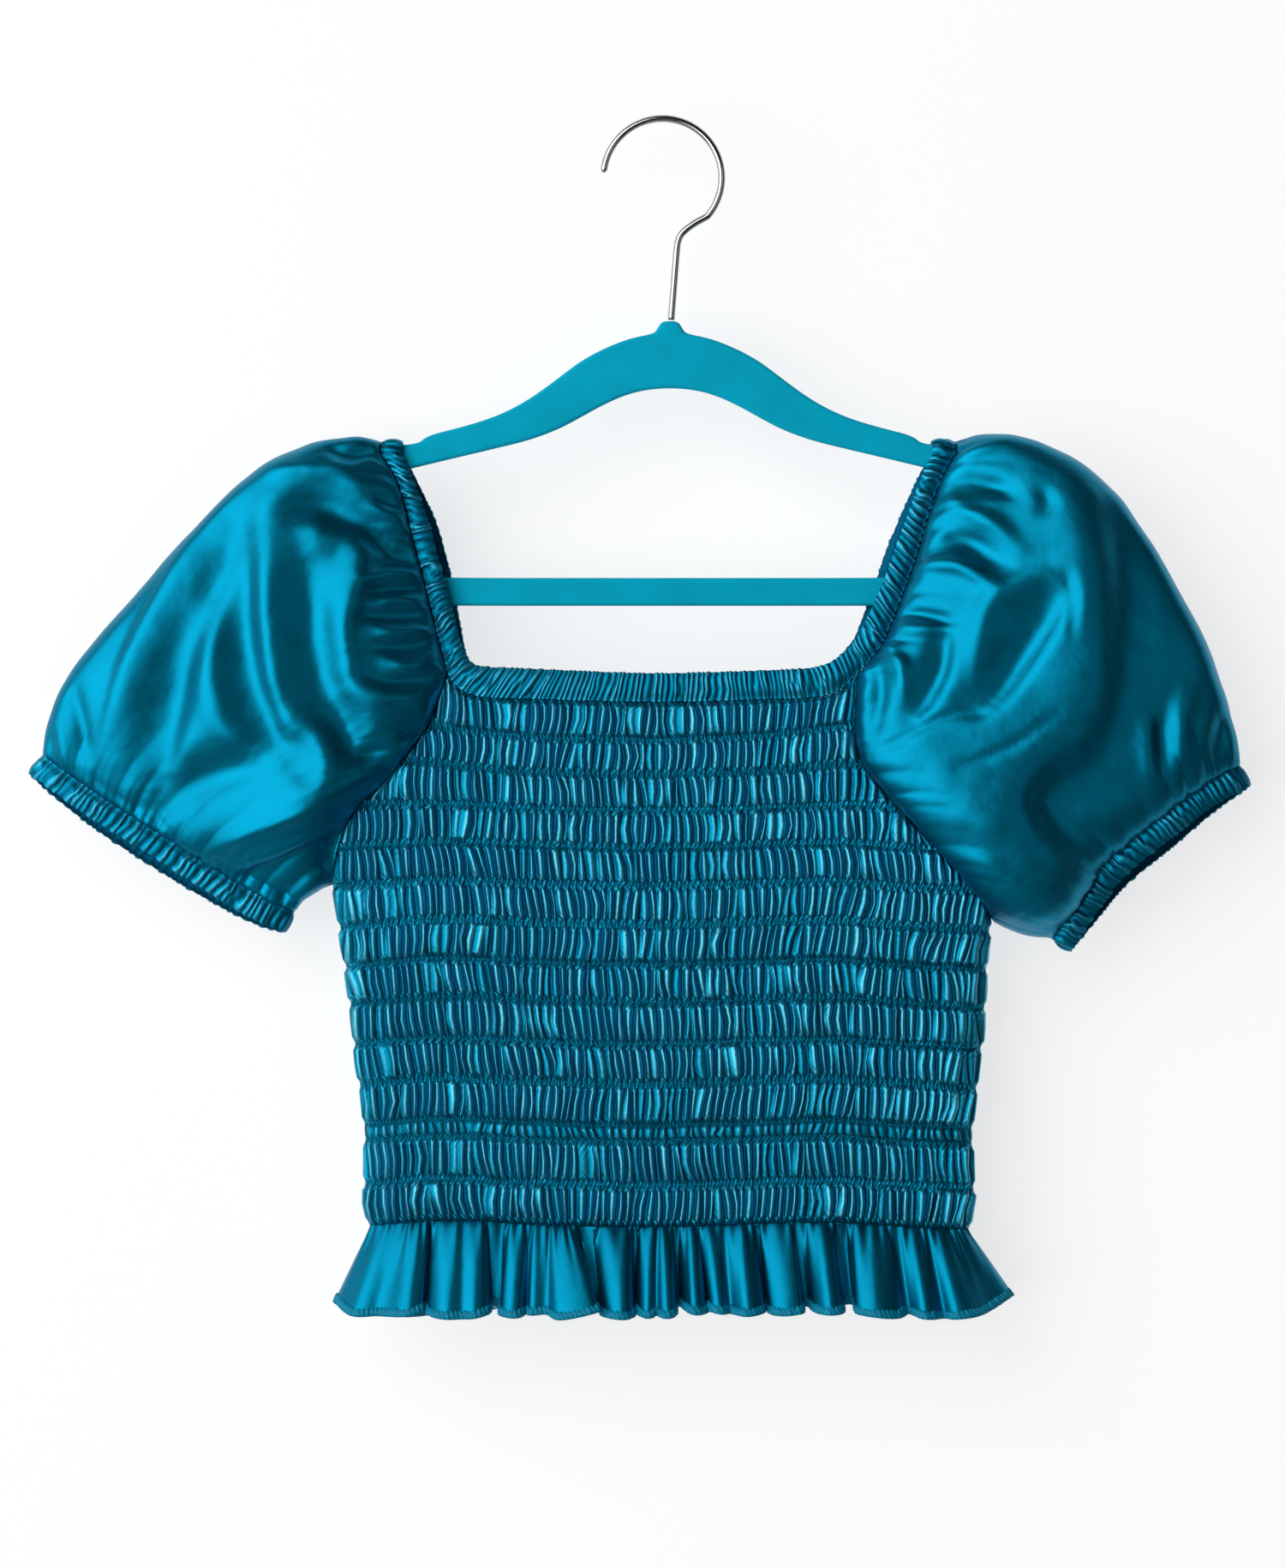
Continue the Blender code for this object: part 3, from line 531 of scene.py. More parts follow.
def panelGrid(face, seed, perFold):
    lines, folds = bodice["lines"], bodice["folds"]
    paintedSlope, paintedStart = bodice["paintedLightRamp"]
    ground = body["clothWall"] - bodice["sunk"]
    columns = folds * perFold + 1
    inFold = np.arange(columns) / perFold
    index = np.minimum(inFold.astype(int), folds - 1)
    q = inFold - index
    rng = np.random.default_rng(seed)
    lineValleys = [unevenFolds(folds, seed + 10 * i, *bodice["jitter"]) * folds for i in range(len(lines))]
    grid = {what: [] for what in ("x", "z", "rise", "phase", "pinch", "paintedLight", "away", "distance")}
    for band in range(len(lines) - 1):
        narrow = lines[band] - lines[band + 1] < bodice["narrowBelow"]
        steps = list(bodice["narrowPuff"] if narrow else bodice["puff"])
        if band == len(lines) - 2:
            steps.append((1.0, 0.0))
        heights = rng.uniform(*bodice["heights"], folds)
        sharpness = rng.uniform(*bodice["sharpness"], folds)[index]
        kind = rng.uniform(0, 1, folds + 1) / bodice["joined"]
        lean, alone = bodice["slip"]
        slip = [lean * rng.uniform(-1, 1) + rng.uniform(-alone, alone, folds + 1) for end in ("upper", "lower")]
        curve, alone = bodice["bow"]
        bow = curve * softNoise(np.arange(folds + 1) / 5, band * 3.1, seed + 2)
        bow += rng.uniform(-alone, alone, folds + 1)
        for t, up in steps:
            atLine = t in (0.0, 1.0)
            if atLine:
                valleys, joins = lineValleys[band + int(t)], np.zeros(folds + 1)
            else:
                middle = math.exp(-(((t - 0.5) / bodice["joinedLength"]) ** 2))
                lower, upper = (float(smoothstep(way / 0.35)) for way in (t - 0.25, 0.75 - t))
                joins = np.select([kind < limit for limit in bodice["joinedKinds"]], [middle, lower, upper, 0.8], 0)
                base = lineValleys[band] * (1 - t) + lineValleys[band + 1] * t
                pull = bodice["joinedPull"] * joins * (kind < bodice["joinedKinds"][2])
                drawn = np.zeros(folds + 1)
                drawn[:-1] += pull[1:]
                drawn[1:] -= pull[:-1]
                valleys = foldValleys(base, slip[0] * (1 - t) + slip[1] * t, bow * math.sin(math.pi * t) + drawn)
            share = (valleys[index] * (1 - q) + valleys[index + 1] * q) / folds
            ridge = heights[index]
            low = joins[index] * (1 - q) + joins[index + 1] * q
            low = low * bodice["joinedHeight"] * ridge
            fold = low + (ridge - low) * np.sin(math.pi * q) ** sharpness
            size = bodice["narrowSize"] if narrow else 1.0
            high = up * size * (bodice["baseRise"] + bodice["foldRise"] * fold)
            # the fold's height, which sets the painted highlight on its crest and the painted shade in its valley
            paintedLightRidge = np.maximum(ridge * np.sin(math.pi * q) ** sharpness, 0.5 * low)
            near = math.exp(-((min(t, 1 - t) / bodice["pinchReach"]) ** 2))
            tuck = np.abs(np.sin(2 * math.pi * q + 0.5 * band)) ** 0.8
            tuck = tuck * (0.5 + 0.5 * softNoise(inFold * 1.7, band, seed + 5) ** 2)
            level = (lines[band] + lines[band + 1]) / 2
            x = placeAt(share, np.full(columns, level))
            z = lineHeight(band, x, seed) * (1 - t) + lineHeight(band + 1, x, seed) * t
            x = placeAt(share, z)
            if atLine:
                z = z + bodice["zigzag"] * np.sin(4 * math.pi * q) * (0.4 + 0.6 * rng.uniform(0, 1, folds)[index])
            # the armholes cut the panel: what lies beyond is drawn in to the cut edge
            left, right = panelEdges(z)
            cutLeft = (x < left) & (z > seams["leftArmholeZ"][0])
            cutRight = (x > right) & (z > seams["rightArmholeZ"][0])
            first, last = int(cutLeft.sum()), columns - 1 - int(cutRight.sum())
            for cutSide, keep, edge in ((cutLeft, first, left), (cutRight, last, right)):
                if cutSide.any():
                    x[cutSide], z[cutSide] = edge[keep], z[keep]
            row = {
                "x": x, "z": z, "away": cutLeft | cutRight, "pinch": np.full(columns, near),
                "rise": ground + high + near * bodice["pinchRise"] * tuck,
                "phase": 2 * inFold + 6 * min(t, 1 - t) + 0.5 * band,
                # painted highlight and painted shade, with more painted shade over a narrow puff
                "paintedLight": (np.clip(paintedLightRidge * paintedSlope + paintedStart, -1, 1) - bodice["narrowPaintedShade"] * narrow) * up,
                "distance": (np.clip(np.minimum(share - share[first], share[last] - share), 0, 1)
                             * bodice["finished"]),
            }
            for what, values in row.items():
                grid[what].append(values)
    grid = {what: np.array(rows) for what, rows in grid.items()}
    x, z, rise = grid["x"], grid["z"], grid["rise"]
    # the folds run out at the seams; down the sides each puff is one scallop
    armholeFoot = np.where(x < 0, seams["leftArmholeZ"][0], seams["rightArmholeZ"][0])
    inArmhole = smoothstep((z - armholeFoot) / bodice["armholeFade"])
    atSeam = np.exp(-grid["distance"] / bodice["seamReach"])
    swell = rise.mean(axis=1, keepdims=True) - ground
    plain = ground + bodice["scallop"] * 0.6 * swell * (1 - inArmhole)
    rise = rise * (1 - atSeam) + plain * atSeam
    out = outwardAt(x, z, face)
    base = np.stack([x, face * (depthAt(x, z) + bodice["clearance"]), z], axis=-1)
    fields = {what: grid[what] for what in ("phase", "pinch", "paintedLight")}
    return base + out * rise[..., None], out, fields, grid["away"]


panelRows = {}
for name, face, seed in (("bodice_front", -1, 41), ("bodice_back", 1, 97)):
    points, out, fields, away = panelGrid(face, seed, bodice["foldWidths"][name])
    panelRows[name] = (points, out)
    panel = gridPiece("shirred_" + name, points, bodice["flat"], out, fields=fields, cutAway=away)
    giveThickness(panel, clothShell["panel"])
    panel.modifiers.new("straight folds", "WEIGHTED_NORMAL")
    dress(panel, satin, "satin", name)
print("bodice panels made")


# elastic casings: the neck casing and the cuffs

casingFolds = {
    "jitter": (0.42, 0.9),
    "heights": (0.35, 1.15),
    "slantUneven": 0.9,
    "paintedLightRamp": (1.5, -0.95, 0.35),   # painted highlight on crests, painted shade in valleys: slope, start and most
    "stitchWidth": 0.07,
    "stitchDepth": 0.5,
    # rows of the mesh from seam to free edge outside, and back inside
    "outerRows": (0.0, 0.04, 0.12, 0.25, 0.42, 0.6, 0.77, 0.9, 0.97, 1.0),
    "innerRows": (0.94, 0.6, 0.3, 0.05),
}


def casingTube(name, seam, edge, out, look, cut, seed):
    # a closed flat tube, gathered across; seam and edge are rings of points that start and end at one place
    middle = (seam + edge) / 2
    far = lengthAlong(middle)
    wanted = np.linspace(0, far[-1], look["stations"] + 1)
    seam, edge, out = (pointsAt(ring, far, wanted) for ring in (seam, edge, out))
    out = unit(out)
    across = edge - seam
    width = np.linalg.norm(across, axis=1)
    across = across / width[:, None]
    share = wanted / far[-1]
    count = look["gathers"]
    fed = np.cumsum(np.where(np.interp(wanted, far, middle[:, 2]) < look["tightBelow"], look["tightness"], 1.0))
    fed = (fed - fed[0]) / (fed[-1] - fed[0])
    phase = np.interp(fed, unevenFolds(count, seed, *casingFolds["jitter"]), np.arange(count + 1))
    heights = np.random.default_rng(seed).uniform(*casingFolds["heights"], count + 1)
    slant = look["slant"] * (1 + casingFolds["slantUneven"] * softNoise(share * count / 7, 0, seed + 3))
    paintedSlope, paintedStart, paintedMost = casingFolds["paintedLightRamp"]
    rows, tone = [], []
    for u in casingFolds["outerRows"]:
        bow = math.sin(math.pi * min(max(u, 0.02), 0.98))
        wander = look["wander"] * softNoise(phase / 2.2, u * 2.6, seed + 9) * bow
        ridge = gatherAt(phase + slant * u + wander, heights)
        # painted highlight on the gathers' crests, painted shade between them
        tone.append(np.clip(ridge * paintedSlope + paintedStart, -1, paintedMost))
        stitched = math.exp(-(((u - look["stitchAt"]) / casingFolds["stitchWidth"]) ** 2))
        high = look["thin"] + look["crown"] * bow**0.6 + look["ridge"] * bow**0.5 * (ridge - 0.5)
        high -= casingFolds["stitchDepth"] * stitched
        spread = look["edgeWave"] * (ridge - 0.5) * (u - 0.5) * 2 * abs(2 * u - 1) ** 3
        rows.append(seam + across * (width * u + spread)[:, None] + out * high[:, None])
    for u in casingFolds["innerRows"]:
        high = 0.25 + 0.3 * (gatherAt(phase + slant * u, heights) - 0.5) * math.sin(math.pi * u)
        rows.append(seam + across * (width * u)[:, None] + out * high[:, None])
    rows.append(rows[0])
    points = np.array(rows)
    inside = len(rows) - len(tone)
    outwards = np.concatenate([np.repeat(out[None], len(tone), 0), -np.repeat(out[None], inside, 0)])
    # the inside of the tube is painted in shade
    tone += [-np.ones(len(wanted))] * inside
    tube = gridPiece(name, points, cut, outwards, closeRound=True, closeTube=True, fields={"paintedLight": np.array(tone)})
    stitchLine = seam + across * (width * look["stitchAt"])[:, None]
    lift = look["thin"] + look["crown"] * math.sin(math.pi * look["stitchAt"]) ** 0.6 - 0.3
    return tube, stitchLine + out * lift, out


neckCasing = {
    "stations": 1740, "gathers": 290, "slant": -0.7, "thin": 1.0, "crown": 1.2, "ridge": 1.7,
    "edgeWave": 0.7, "wander": 0.45, "stitchAt": 0.1, "flat": (0.98, 0.030),
    "tightBelow": -245.0, "tightness": 1.45,   # gathered closer across the neck than over the straps
}


def casingLines(face):
    lines = []
    for suffix in ("", "Edge"):
        left = smoothPath(seams["leftStrap" + suffix], 160)
        neck = smoothPath(seams["neck" + suffix], 400)
        right = smoothPath(seams["rightStrap" + suffix], 160)[::-1]
        line = np.vstack([left[:-1], neck, right[1:]])
        lines.append(backShifted(line) if face > 0 else line)
    return lines


rings = [[], [], []]
for face, order in ((-1, 1), (1, -1)):
    seamLine, edgeLine = (line[::order] for line in casingLines(face))
    arcSeam, arcOut = shoulderArc(seamLine[-1][0], face, 10, 170, 17)
    arcEdge, _ = shoulderArc(edgeLine[-1][0], face, 10, 170, 17)
    rings[0] += [onBody(seamLine, face), arcSeam]
    rings[1] += [onBody(edgeLine, face), arcEdge]
    rings[2] += [outwardAt(seamLine[:, 0], seamLine[:, 1], face), arcOut]
seamRing, edgeRing, outRing = (np.vstack(ring + [ring[0][:1]]) for ring in rings)
casing, neckStitches, neckStitchOut = casingTube(
    "gathered_neck_casing", seamRing, edgeRing, outRing, neckCasing, neckCasing["flat"], 311)
giveThickness(casing, clothShell["casing"])
dress(casing, satin, "satin", "neck_casing")
print("neck casing made")


# puff sleeves

# Creases, one by one: height, how wide on the lower or left side, how wide on the upper or right side,
# then the line from its top or left end as (x, z).
leftSleeve = {
    "top": (
        (-145, -147.6), (-168, -153), (-195, -168.5), (-220, -192), (-248, -224), (-275, -257),
        (-286, -280), (-288.5, -295.5),
    ),
    "under": ((-163, -361), (-172.5, -367.5)),
    "cuff": (
        (-288.5, -295.5), (-259, -316), (-233.5, -332), (-207.5, -348.5), (-186, -361.5), (-172.5, -367.5),
    ),
    "puff": 19.0,
    "fullness": 0.3,     # how evenly the puff stands out along its length
    "cuffDepth": 6.5,
    "creases": (
        (3.2, 5, 14, (-207.5, -181.6), (-221.9, -205.7), (-237.2, -234.6), (-247.6, -257.1), (-254, -279.5),
         (-257.2, -295.6)),
        (-5.6, 17, 8, (-199.4, -188), (-207.5, -208.9), (-215.8, -231.4), (-225.1, -263.5), (-233.2, -295.6),
         (-241.2, -318.1)),
        (3, 9, 8, (-213.9, -229.8), (-210.7, -257.1), (-205.1, -277.9), (-194.6, -289.2), (-182.6, -296.4)),
        (-4.4, 13, 5, (-196.2, -192.8), (-193.8, -212.1), (-191.1, -247.4), (-184.2, -276.3), (-174.5, -300.4)),
        (3.8, 7, 15, (-180.2, -167.1), (-181, -199.2), (-183.1, -231.4), (-179.4, -260.3), (-172.1, -276.3)),
        (-5, 15, 9, (-170.5, -202.5), (-161.7, -234.6), (-156.9, -260.3), (-148.8, -279.5), (-138.4, -293.2)),
        (3.8, 9, 7, (-156.1, -191.2), (-140.8, -199.2), (-144.8, -221.7), (-148.8, -239.4), (-144.8, -258.7),
         (-135.2, -265.9), (-119.1, -269.1), (-108.7, -273.1)),
        (3, 5, 8, (-194.6, -161.5), (-173.7, -163.1), (-152.9, -164.7), (-136.8, -173.5), (-125.6, -179.2)),
        (-5, 9, 7, (-177.8, -186.4), (-160.9, -180), (-144.8, -187.2), (-122.3, -197.6)),
        (-2.2, 3.5, 3.5, (-157.7, -151.9), (-146.4, -156.7), (-135.2, -152.7)),
        (2, 7, 6, (-170.5, -277.9), (-159.3, -287.6), (-155.3, -300.4), (-160.1, -311.7), (-170.5, -313.3),
         (-178.2, -305.2)),
        (-1.8, 6, 6, (-168.9, -289.2), (-166.5, -298.8), (-167.3, -305.2)),
        (-3.2, 7, 7, (-148, -279.5), (-140.8, -293.2), (-123.1, -297.2)),
        (-5, 9, 11, (-238.8, -326.1), (-223.5, -313.3), (-204.3, -303.6), (-183.4, -298)),
        (6, 3, 18, (-199.4, -346.7), (-188.2, -342.5), (-175.3, -337), (-157.7, -329.6), (-143.2, -319.7)),
        (-6.5, 45, 3, (-201, -349.9), (-188.2, -345.1), (-174.5, -339.9), (-157.7, -332.9), (-140, -321.3)),
        (-2, 4, 4, (-274.1, -263.5), (-270.1, -279.5), (-267.7, -295.6)),
        (1.8, 4, 4, (-282.1, -276.3), (-279.7, -287.6), (-278.1, -297.2)),
        (1.8, 3, 3.2, (-135.2, -180.8), (-127.2, -185.1), (-119.1, -188)),
        (-2.2, 3.2, 3.2, (-134.4, -175.2), (-127.2, -179.2), (-119.9, -181.6)),
        (-2.4, 3.2, 3.4, (-135.2, -196.8), (-127.2, -200.8), (-117.5, -203.3)),
        (2.4, 3, 3.2, (-139.2, -214.5), (-127.2, -211.8), (-111.1, -212.4)),
        (-2.4, 3.2, 3.2, (-136.8, -209.7), (-127.2, -205.3), (-113.5, -207.6)),
        (2, 2.6, 3, (-132, -226.5), (-124, -223.7), (-110.3, -224.9)),
        (-2.4, 3.4, 3.4, (-135.2, -220.1), (-122.3, -218.8), (-109.5, -218.8)),
        (-2.6, 3.8, 3.8, (-139.2, -231.4), (-124, -231.7), (-108.7, -231)),
        (2.4, 3, 3.4, (-135.2, -237.8), (-122.3, -239.4), (-107.1, -237.8)),
        (-2.8, 4, 4, (-132, -245.8), (-122.3, -245.8), (-107.9, -244.2)),
        (2.4, 3.2, 3.4, (-127.2, -253), (-117.5, -255.1), (-106.3, -249.8)),
        (-3, 5, 4.4, (-140.8, -259.9), (-125.6, -261.9), (-111.1, -259.5)),
        (-2, 3, 3, (-122.3, -290), (-115.9, -286), (-107.9, -287.9)),
        (2, 3, 3, (-128.8, -295.6), (-119.1, -292.1), (-112.7, -293.2)),
    ),
}
rightSleeve = {
    "top": (
        (151, -146.8), (178, -152), (204, -168), (224, -192), (242, -224), (257, -256), (266, -284),
        (268.5, -300),
    ),
    "under": ((168, -377.5), (181.5, -380)),
    "cuff": ((268.5, -300), (250, -310), (229.5, -325.5), (208, -343), (194.5, -360), (181.5, -380)),
    "puff": 21.0,
    "fullness": 0.75,
    "cuffDepth": 6.5,
    "creases": (
        (5.6, 23, 14, (177.3, -152.7), (190.2, -168.7), (196.3, -199.2), (198.2, -231.4), (198.2, -260.3),
         (191, -282.8)),
        (5, 26, 6, (225.5, -168.7), (245.6, -210.5), (258.4, -247.4), (264.1, -279.5)),
        (-3.8, 17, 30, (198.2, -155.9), (212.7, -176.8), (218.3, -207.3), (219.1, -239.4), (216.7, -271.5),
         (207.8, -294)),
        (-1.5, 2.5, 2.5, (187, -213.7), (188.9, -224.9), (187.8, -239.4)),
        (3, 6, 8, (182.2, -210.2), (164.5, -217.2), (151.6, -224.9), (146.2, -239.4), (145.5, -258.7)),
        (-5.2, 12, 5, (184.1, -215.3), (178.1, -231.4), (166.9, -249), (155.7, -265.1), (146.8, -273.9)),
        (-4.2, 8, 4, (130.4, -237.8), (128.8, -253.8), (122.4, -268.3), (115, -277.9)),
        (2, 3.5, 3.5, (102.7, -242.6), (109.9, -253.8), (112.3, -268.3)),
        (-2.5, 4, 4, (97.8, -249), (101.1, -263.5), (98.6, -284.4)),
        (-4, 7, 5, (130.8, -191.2), (143.6, -197.6), (155.7, -206.5)),
        (3, 4, 5, (118.7, -208.1), (135.6, -208.1), (146.8, -213.7), (153.2, -217.7)),
        (-2.2, 3.2, 3.2, (111.5, -229), (122.7, -231.4), (135.6, -234.3)),
        (1.6, 3, 3.5, (106.7, -236.5), (119.5, -237.8), (135.6, -236.8)),
        (1.8, 3, 3.4, (138, -158.3), (149.2, -153.5), (162.9, -149.5)),
        (-2.8, 4, 4, (133.2, -169.5), (145.2, -168.4), (159.7, -171.6)),
        (2.2, 4, 4.4, (130, -177.1), (142, -183.2), (154.9, -190.4), (164.5, -199.2)),
        (-1.6, 4, 4, (141.2, -174.3), (153.2, -172.3), (162.9, -175.2)),
        (-1.6, 3.4, 3.4, (174.9, -173.5), (178.1, -179.2), (175.7, -184.8)),
        (1.6, 3, 4, (125.1, -195.2), (134, -191.5), (143.6, -192.8)),
        (-1.1, 2.2, 2.4, (135.6, -301.2), (151.6, -295.6), (164.5, -289.2), (182.2, -276.3)),
        (-1.1, 2.2, 2.4, (97, -295.6), (114.7, -286), (130.8, -277.9), (150, -275.5)),
        (4.5, 5, 26, (97, -297.2), (119.5, -318.1), (140.4, -339), (159.7, -358.2), (180.5, -369.5)),
        (4.4, 27, 10, (183.8, -289.2), (168.5, -298.8), (159.7, -311.7), (162.9, -326.1), (177.3, -340.6),
         (190.2, -355)),
        (-2.8, 12, 15, (206.2, -295.6), (190.2, -306.8), (181.4, -318.1), (183.8, -330.9), (193.4, -340.6),
         (203, -348.6)),
        (-1.6, 5, 8, (134, -333.3), (153.2, -337.7), (166.1, -348.6)),
        (-2, 4, 4, (174.9, -375.1), (185, -374), (190.2, -367.1)),
        (2.2, 5, 5, (241.6, -266.7), (239.2, -279.5), (238.4, -295.6), (236, -305.2)),
        (-2.4, 5, 6, (232.7, -276.3), (231.9, -289.2), (232.7, -302)),
        (1.6, 5, 5, (223.9, -279.5), (225.5, -295.6), (227.1, -308.4)),
        (-2, 5, 5, (260.8, -276.3), (257.6, -289.2), (256, -300.4)),
        (2, 6, 8, (212.7, -165.5), (214.3, -173.5), (212.7, -183.2)),
    ),
}
sleeveMesh = {
    "halfColumns": 177,
    "roundness": 2.6,
    "rows": 96,
    # gathers run in from the seams, short fine ones and longer ones between: pitch, height, least and most reach
    "seamGathers": ((4.4, 1.5, 3.0, 8.0), (10.5, 2.4, 8.0, 20.0)),
    "cuffGathers": ((4.8, 1.3, 3.5, 9.0), (11.0, 1.8, 9.0, 26.0)),
    "backDrop": 5.0,     # the back of the cuff hangs this much lower
    "unevenness": 0.5,
    "rowCrowding": 0.09,     # rows lie closer together at the seams
    "creaseFade": 7.0,
    "seamTurn": 0.03,        # share of the length in which the cloth turns out from the seam
    "underarmFade": 25.0,    # the gathers run out this far above the underarm
    "hangerReach": (192, -229),   # how far out and down the hanger's ends are
    "backCreases": 0.85,
    "underarmOut": (0.7, 0, -1.75),
    "hangerClear": 3.9,
    "flat": (0.46, 0.205),
    "flatArea": 0.078,
}
hangerTopLine = ((118, -150.7), (138, -150.7), (150, -154.6), (170, -161), (183, -167), (189, -175), (192, -187))


def creaseField(x, z, creases):
    height = np.zeros_like(x)
    for rise, lowerWidth, upperWidth, *corners in creases:
        line = smoothPath(corners, 20)
        shape = np.zeros_like(x)
        for k, (a, b) in enumerate(zip(line[:-1], line[1:])):
            step = b - a
            share = np.clip(((x - a[0]) * step[0] + (z - a[1]) * step[1]) / (step @ step), 0, 1)
            distance = np.hypot(x - a[0] - share * step[0], z - a[1] - share * step[1])
            side = (step[0] * (z - a[1]) - step[1] * (x - a[0])) / math.hypot(*step)
            width = lowerWidth + (upperWidth - lowerWidth) * smoothstep(0.5 + side / (lowerWidth + upperWidth))
            taper = np.sin(math.pi * np.clip((k + share) / 19, 0.04, 0.96)) ** 0.5
            shape = np.maximum(shape, taper * np.exp(-((distance / width) ** 2)))
        height += rise * shape
    return height


def sleeveSeam(side):
    halves = []
    hand = "left" if side < 0 else "right"
    for face in (-1, 1):
        strap = smoothPath(seams[hand + "Strap"], 160)
        if face > 0:
            strap = backShifted(strap)
        z = np.linspace(-258.5, seams[hand + "ArmholeZ"][0], 160)
        armhole = np.column_stack([np.interp(z, seams[hand + "ArmholeZ"], seams[hand + "ArmholeX"]), z])
        line = np.vstack([strap, armhole])
        away = flatNormals(line) * -side
        away[-1] = (side, 0.5)
        points = onBody(line + away * 0.2, face)
        out = outwardAt(line[:, 0], line[:, 1], face)
        share = (np.clip(1 - (line[:, 1] - z[-1]) / 22, 0, 1) ** 1.5)[:, None]
        under = np.array([side * sleeveMesh["underarmOut"][0], 0, sleeveMesh["underarmOut"][2]])
        out = out * (1 - share) + under * share
        points[-1, 1] = out[-1, 1] = 0
        arc, arcOut = shoulderArc(points[0][0], face, 90, 5, 12)
        ring = np.column_stack([np.vstack([arc, points]), np.vstack([arcOut, out])])
        far = lengthAlong(ring[:, :3])
        ring = pointsAt(ring, far, np.linspace(0, far[-1], sleeveMesh["halfColumns"]))
        halves.append((ring[:, :3], ring[:, 3:]))
    return halves


def sleeveHalves(side, shape, rows):
    made, look = [], sleeveMesh
    for face, (seam, out) in zip((-1, 1), sleeveSeam(side)):
        top = resample(smoothPath([tuple(seam[0, [0, 2]]), *shape["top"]], 200), rows)
        under = resample(smoothPath([tuple(seam[-1, [0, 2]]), *shape["under"]], 60), rows)
        across = lengthAlong(seam) / lengthAlong(seam)[-1]
        cuffLine = smoothPath(shape["cuff"], 200)
        cuff = resample(cuffLine, across)
        if face > 0:
            lower = look["backDrop"] * np.sin(math.pi * across) ** 0.6
            cuff = cuff - side * resample(flatNormals(cuffLine), across) * lower[:, None]
        bow = np.clip(1 - np.abs(2 * across - 1) ** look["roundness"], 0, 1) ** (1 / look["roundness"])
        grid = []
        for r, t in enumerate(rows):
            ends = (1 - t) * seam[:, [0, 2]] + t * cuff
            flat = ends + (1 - across)[:, None] * (top[r] - ends[0]) + across[:, None] * (under[r] - ends[-1])
            arched, full = math.sin(math.pi * min(t, 1)**0.75), (1 - abs(2 * t - 1) ** 2.6) ** (1 / 2.6)
            swell = shape["puff"] * (max(arched, 0) ** 0.75 * (1 - shape["fullness"]) + full * shape["fullness"])
            deep = (1 - t) * np.abs(seam[:, 1]) + (t * shape["cuffDepth"] + swell) * bow
            grid.append(np.column_stack([flat[:, 0], face * deep, flat[:, 1]]))
        made.append((np.array(grid), out))
    return made


def ringOf(front, back):
    # front and back halves as one ring whose last column repeats its first
    return np.concatenate([front, back[:, -2::-1]], axis=1)


def ringNormals(ring):
    once = ring[:, :-1]
    along = np.roll(once, -1, axis=1) - np.roll(once, 1, axis=1)
    normals = np.cross(along, np.gradient(once, axis=0))
    sense = 1 if (normals * (once - once.mean(axis=1, keepdims=True))).sum() > 0 else -1
    normals = unit(sense * normals)
    return np.concatenate([normals, normals[:, :1]], axis=1)


def gathersFrom(distance, along, kinds, seed):
    # gathers that run out from a seam, each with its own width, height and reach
    total = np.zeros_like(distance)
    for pitch, height, least, most in kinds:
        count = round(along[-1] / pitch)
        phase = np.interp(along / along[-1], unevenFolds(count, seed), np.arange(count + 1))[None]
        rng = np.random.default_rng(seed + 1)
        reach = rng.uniform(least, most, 200)[np.floor(phase).astype(int) % 200]
        ridges = gatherAt(phase, rng.uniform(0.3, 1.2, 200)) - 0.4
        total += height * ridges * np.exp(-distance / reach) * (1 - np.exp(-distance / 1.5))
        seed += 7
    return total


